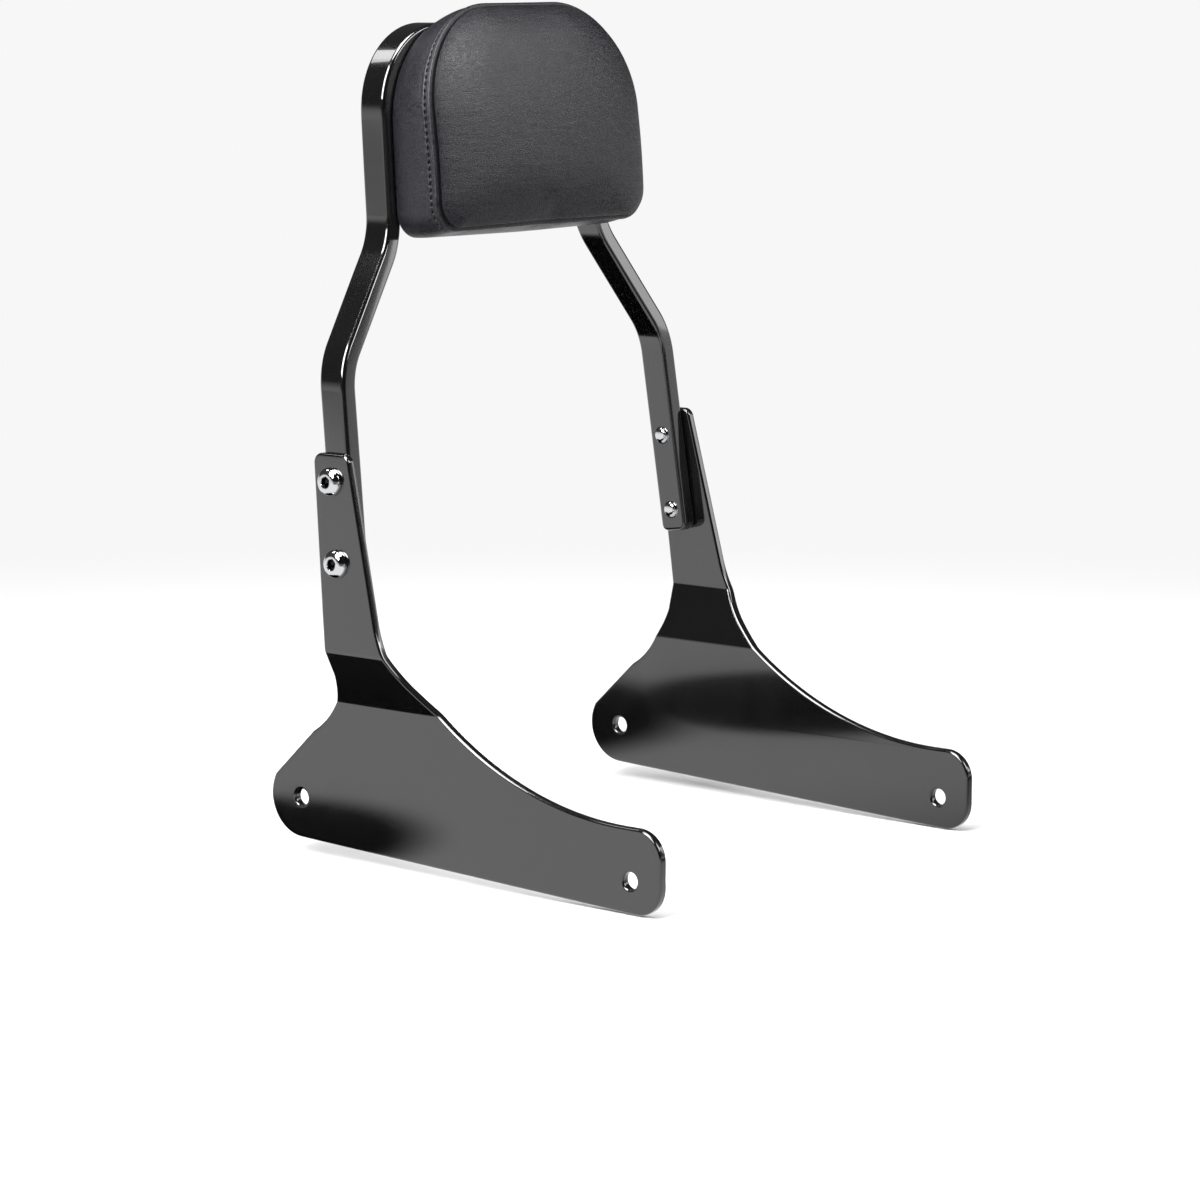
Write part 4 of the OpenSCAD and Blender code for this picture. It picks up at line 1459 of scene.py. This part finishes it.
    def inflated(self) -> tuple[Array, Array]:
        """Blows the cover up as cloth and reads how far each point moves.

        The plain pad is remeshed evenly and put under pressure for some frames with no gravity, while its
        back is held. No point may move further than the puff.

        Returns:
            Points of the remeshed pad, and each one's capped movement.
        """
        pad = linked("work_pad", self.closed_shell(self.grid(120, False), True).mesh("work_pad"))
        remesh = pad.modifiers.new("even", "REMESH")
        remesh.mode = "VOXEL"
        remesh.voxel_size = self.voxel
        graph = bpy.context.evaluated_depsgraph_get()
        even = bpy.data.meshes.new_from_object(pad.evaluated_get(graph))
        pad.modifiers.clear()
        pad.data = even
        rest = mesh_points(even)
        held = pad.vertex_groups.new(name="held")
        held.add(np.flatnonzero(rest[:, 1] > -self.back_radius).tolist(), 1.0, "REPLACE")
        cloth = pad.modifiers.new("cloth", "CLOTH")
        settings = {"quality": 6, "use_pressure": True, "uniform_pressure_force": 4.0,
                    "tension_stiffness": 60, "compression_stiffness": 60, "bending_stiffness": 6,
                    "vertex_group_mass": "held"}
        for name, value in settings.items():
            setattr(cloth.settings, name, value)
        cloth.settings.effector_weights.gravity = 0
        cloth.point_cache.frame_start = 1
        cloth.point_cache.frame_end = self.frames
        scene = bpy.context.scene
        for frame in range(1, self.frames + 1):
            scene.frame_set(frame)
        graph = bpy.context.evaluated_depsgraph_get()
        blown = bpy.data.meshes.new_from_object(pad.evaluated_get(graph))
        move = mesh_points(blown) - rest
        scene.frame_set(1)
        bpy.data.objects.remove(pad)
        size = np.linalg.norm(move, axis=1, keepdims=True)
        return rest, move * np.minimum(1, self.puff / np.maximum(size, 1e-9))

    def swollen(self, grid: Array) -> Array:
        """The grid moved by the blown cover's movement near each point.

        Each point takes the mean movement of the remeshed pad's points, weighted by a bell curve of
        their distance.
        """
        rest, move = self.inflated()
        flat = grid.reshape(-1, 3)
        block_size = 1500
        moved = np.empty_like(flat)
        for block in np.array_split(np.arange(len(flat)), max(1, len(flat) // block_size)):
            gap = ((flat[block, None] - rest[None]) ** 2).sum(axis=-1)
            weight = np.exp(-gap / (2 * self.reach ** 2)) + 1e-12
            moved[block] = weight @ move / weight.sum(axis=1, keepdims=True)
        LOG.info("cover swells by %.1f mm at most", np.abs(moved).max() / MM)
        return (flat + moved).reshape(grid.shape)

    def build_cover(self) -> Array:
        """The sewn cover with its seam, strip and stitch groove.

        Returns:
            The cover's grid in the pad's frame.
        """
        grid = self.grid(self.columns, True)
        grid = self.swollen(grid)
        shell = self.closed_shell(grid, False)
        mesh = shell.mesh("pad_cover", 75)
        rows, columns = grid.shape[:2]
        run = np.tile(np.arange(columns) * self.stitches / columns, rows)
        depth = self.section(True)[:, 1]
        past = self.seam + 0.5 * MM * (1 + np.arange(rows - len(depth)))
        across = (np.concatenate([depth, past]) - self.seam + self.stitch_back) / MM
        mark_points(mesh, "sewn_run", np.append(run, 0))
        mark_points(mesh, "sewn_across", np.append(np.repeat(across, columns), across[-1]))
        set_mesh_points(mesh, placed(mesh_points(mesh), self.frame))
        piece = new_piece(mesh, VINYL, ["pad_face", "pad_band", "pad_foam"])
        wall = piece.modifiers.new("wall", "SOLIDIFY")
        wall.thickness = self.wall
        wall.offset = -1
        return grid

    def build_stitches(self, grid: Array) -> bpy.types.Object:
        """A row of stitches in the groove beside the seam.

        Each stitch is a bead whose radius follows the root of one minus the square of its share of the
        way, laid along the groove's own row of the cover.
        """
        depths = self.section(True)[:, 1]
        row = int(np.argmin(np.abs(depths - (self.seam - self.stitch_back))))
        ring = grid[row]
        outward = ring - ring.mean(axis=0)
        outward[:, 1] = 0
        outward /= np.linalg.norm(outward, axis=1, keepdims=True)
        columns = len(ring)
        t = np.linspace(-1, 1, 7)
        thick = self.stitch_radius * np.sqrt(np.clip(1.02 - t ** 2, 0.02, None))
        at = (np.arange(self.stitches)[:, None] + 0.5 + t[None] * self.stitch_half) * columns / self.stitches
        spot, out = (read_at(at, np.arange(columns + 1), np.concatenate([line, line[:1]]))
                     for line in (ring, outward))
        deep = np.array([0.0, -1.0, 0.0])
        angle = np.radians(np.arange(0, 360, 60))
        shell = Shell()
        rise = self.stitch_rise * (1 - t ** 2)
        centre = spot + out * rise[None, :, None]
        rings = (centre[:, :, None] + thick[None, :, None, None]
                 * (np.cos(angle)[:, None] * out[:, :, None] + np.sin(angle)[:, None] * deep))
        for stitch in rings:
            shell.add_tube(stitch)
        mesh = shell.mesh("pad_stitches", 80)
        set_mesh_points(mesh, placed(mesh_points(mesh), self.frame))
        return new_piece(mesh, THREAD)

    def build(self) -> None:
        """Builds the cover and its stitches."""
        self.build_stitches(self.build_cover())


@dataclass(frozen=True)
class PlainNodes:
    """The finish of each construction node, by the start of its name; the rest is powder coated."""

    finishes: tuple[tuple[str, Finish], ...] = (
        ("pad_board", PLYWOOD), ("pad_foam", FOAM), ("pad_washer", ZINC), ("tee_nut", ZINC),
        ("pad_face", VINYL), ("pad_band", VINYL), ("leg_bolt", CHROME), ("pad_screw", CHROME))

    def dress(self, nodes: dict[str, bpy.types.Object]) -> None:
        """Gives every node its finish."""
        for name, node in nodes.items():
            chosen = next((f for start, f in self.finishes if name.startswith(start)), POWDER_COAT)
            node.data.materials.clear()
            node.data.materials.append(chosen.material())


# Stage


@dataclass(frozen=True)
class FloorSpot:
    """A soft patch of floor that only gloss mirrors: its level goes from the middle's to the rim's."""

    x: float
    y: float
    inner: float
    outer: float
    middle_level: float
    rim_level: float = 0.93


@dataclass(frozen=True)
class Lamp:
    """A soft rectangular lamp: its place, width and height, watts, and the point that it faces."""

    name: str
    place: tuple[float, float, float]
    size: tuple[float, float]
    power: float
    aim: tuple[float, float, float] = (0.0, 0.18, 0.25)

    def build(self) -> None:
        """Adds the lamp to the scene."""
        data = bpy.data.lights.new(self.name, "AREA")
        data.shape = "RECTANGLE"
        data.size, data.size_y = self.size
        data.energy = self.power
        lamp = linked(self.name, data)
        lamp.location = self.place
        lamp.rotation_euler = (Vector(self.aim) - Vector(self.place)).to_track_quat("-Z", "Y").to_euler()


@dataclass
class Studio:
    """A pale floor that melts into a pale surround, soft lamps, and the camera at the photo's angle."""

    floor_z: float
    eye: tuple[float, float, float] = (-2.024095, -1.501874, 0.542109)
    azimuth: float = -50.72635
    elevation: float = -8.92795
    focal_length: float = 126.0
    sensor: float = 36.0
    floor_half: float = 8.0
    floor_tone: Color = (0.80, 0.80, 0.80)
    floor_middle_y: float = 0.15
    lit_radius: float = 0.45
    plain_radius: float = 1.5
    pale: Color = (0.93, 0.93, 0.93)
    overhead: tuple[float, float, float, float] = (0.0, 0.16, 0.95, 0.06)
    leftward: tuple[float, float, float, float] = (-0.1, 0.6, 0.15, 1.0)
    rearward: tuple[float, float, float, float] = (-0.3, 0.0, 0.0, 1.0)
    mirrored: tuple[FloorSpot, ...] = (
        FloorSpot(-0.16, 0.34, 0.11, 0.16, 0.0),
        FloorSpot(0.06, 0.53, 0.17, 0.24, 0.0),
        FloorSpot(0.45, -0.75, 0.50, 1.00, 0.02),
        FloorSpot(2.1, -1.6, 0.80, 1.60, 0.28),
        FloorSpot(-1.9, -2.0, 1.5, 2.1, 0.04),
        FloorSpot(0.0, 0.0, 4.2, 7.0, 0.93, 0.50))
    lamps: tuple[Lamp, ...] = (
        Lamp("key", (1.45, -2.1, 1.9), (1.7, 1.3), 54),
        Lamp("overhead", (-0.2, 0.0, 2.4), (1.2, 1.2), 55),
        Lamp("left", (-1.85, 0.20, 1.85), (1.4, 1.6), 105),
        Lamp("right", (2.3, -1.6, 0.95), (0.5, 0.9), 3),
        Lamp("rear", (-0.37, 1.5, 1.97), (0.5, 0.5), 3.5, (-0.1, 0.24, 0.47)))

    def build_camera(self) -> None:
        """The camera, level and without depth of field."""
        data = bpy.data.cameras.new("photo_camera")
        data.sensor_width = self.sensor
        data.lens = self.focal_length
        data.clip_end = 100
        camera = linked("photo_camera", data)
        camera.location = self.eye
        camera.rotation_euler = (math.radians(90 + self.elevation), 0, math.radians(self.azimuth))
        bpy.context.scene.camera = camera

    def build_floor(self) -> None:
        """A flat floor whose lit colour gives way to a plain one away from the object.

        Mirrored in the gloss, it is the lowest of the plain colour's level and the levels of the spots.
        """
        h = self.floor_half
        corners = [(x, y, self.floor_z) for x, y in ((-h, -h), (h, -h), (h, h), (-h, h))]
        mesh = bpy.data.meshes.new("floor")
        mesh.from_pydata(corners, [], [(0, 1, 2, 3)])
        floor = linked("floor", mesh)
        material = bpy.data.materials.new("pale_floor")
        material.use_nodes = True
        tree = material.node_tree
        tree.nodes.clear()
        where = object_coords(tree)
        centred = add_node(tree, "Mapping", Vector=where, Location=(0.0, -self.floor_middle_y, 0.0))
        distance = add_node(tree, "VectorMath", centred.outputs["Vector"], operation="LENGTH")
        fade = ramp_node(tree, distance.outputs["Value"], self.lit_radius, self.plain_radius)
        lit = add_node(tree, "BsdfDiffuse", Color=(*self.floor_tone, 1))
        plain = add_node(tree, "Emission", Color=(*self.pale, 1))
        direct = add_node(tree, "MixShader", fade, lit.outputs["BSDF"], plain.outputs["Emission"])
        level = self.pale[0]
        for spot in self.mirrored:
            away = add_node(tree, "VectorMath", where, (spot.x, spot.y, self.floor_z), operation="DISTANCE")
            level = math_node(tree, "MINIMUM", level, ramp_node(
                tree, away.outputs["Value"], spot.inner, spot.outer, spot.middle_level, spot.rim_level))
        seen = add_node(tree, "Emission", Strength=level)
        path = add_node(tree, "LightPath")
        whole = add_node(tree, "MixShader", path.outputs["Is Glossy Ray"], direct.outputs["Shader"],
                         seen.outputs["Emission"])
        add_node(tree, "OutputMaterial", Surface=whole.outputs["Shader"])
        mesh.materials.append(material)
        floor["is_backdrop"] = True

    def build_world(self) -> None:
        """A pale surround that darkens overhead and behind the camera, which itself sees it plain.

        Its strength falls with the height of the direction, times the greater of two rises: one towards
        the object's left and one towards its rear. Each is kept as the span of the direction's part, and
        the levels at both of its ends.
        """
        world = bpy.data.worlds.new("studio")
        bpy.context.scene.world = world
        world.use_nodes = True
        tree = world.node_tree
        tree.nodes.clear()
        where = add_node(tree, "TexCoord").outputs["Generated"]
        way = add_node(tree, "SeparateXYZ", Vector=where).outputs
        overhead, leftward, rearward = (
            ramp_node(tree, way[axis], *rise)
            for axis, rise in (("Z", self.overhead), ("X", self.leftward), ("Y", self.rearward)))
        strength = math_node(tree, "MULTIPLY", overhead, math_node(tree, "MAXIMUM", leftward, rearward))
        ambient = add_node(tree, "Background", Strength=strength)
        plain = add_node(tree, "Background", Color=(*self.pale, 1))
        path = add_node(tree, "LightPath").outputs
        direct = math_node(tree, "MAXIMUM", path["Is Camera Ray"], path["Is Transmission Ray"])
        mix = add_node(tree, "MixShader", direct, ambient.outputs["Background"], plain.outputs["Background"])
        add_node(tree, "OutputWorld", Surface=mix.outputs["Shader"])

    def build(self) -> None:
        """Builds the stage."""
        scene = bpy.context.scene
        scene.view_settings.view_transform = "Standard"
        self.build_camera()
        self.build_floor()
        self.build_world()
        for lamp in self.lamps:
            lamp.build()


def write_sizes(before: object, after: object) -> None:
    """Puts the construction box and the dressed box into a dict of plain lists, which is then dropped."""
    def plain(box: object) -> list[list[float]]:
        """A box's two corners as lists."""
        return [[float(v) for v in corner] for corner in box]

    {"cad": plain(before), "visual": plain(after)}


def main() -> None:
    """Builds the stage and every sub-assembly in order."""
    logging.basicConfig(level=logging.INFO, format="%(name)s: %(message)s")
    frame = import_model()
    cad_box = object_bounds()
    Studio(floor_z=float(cad_box[0][2]) - 0.0005).build()
    PlainNodes().dress(frame["nodes"])
    hoop = Hoop()
    hoop.build()
    for side in Side:
        SidePlate(side, hoop).build()
    Fasteners(hoop).build()
    Pad(hoop.pad_frame()).build()
    write_sizes(cad_box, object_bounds())


if __name__ == "__main__":
    main()
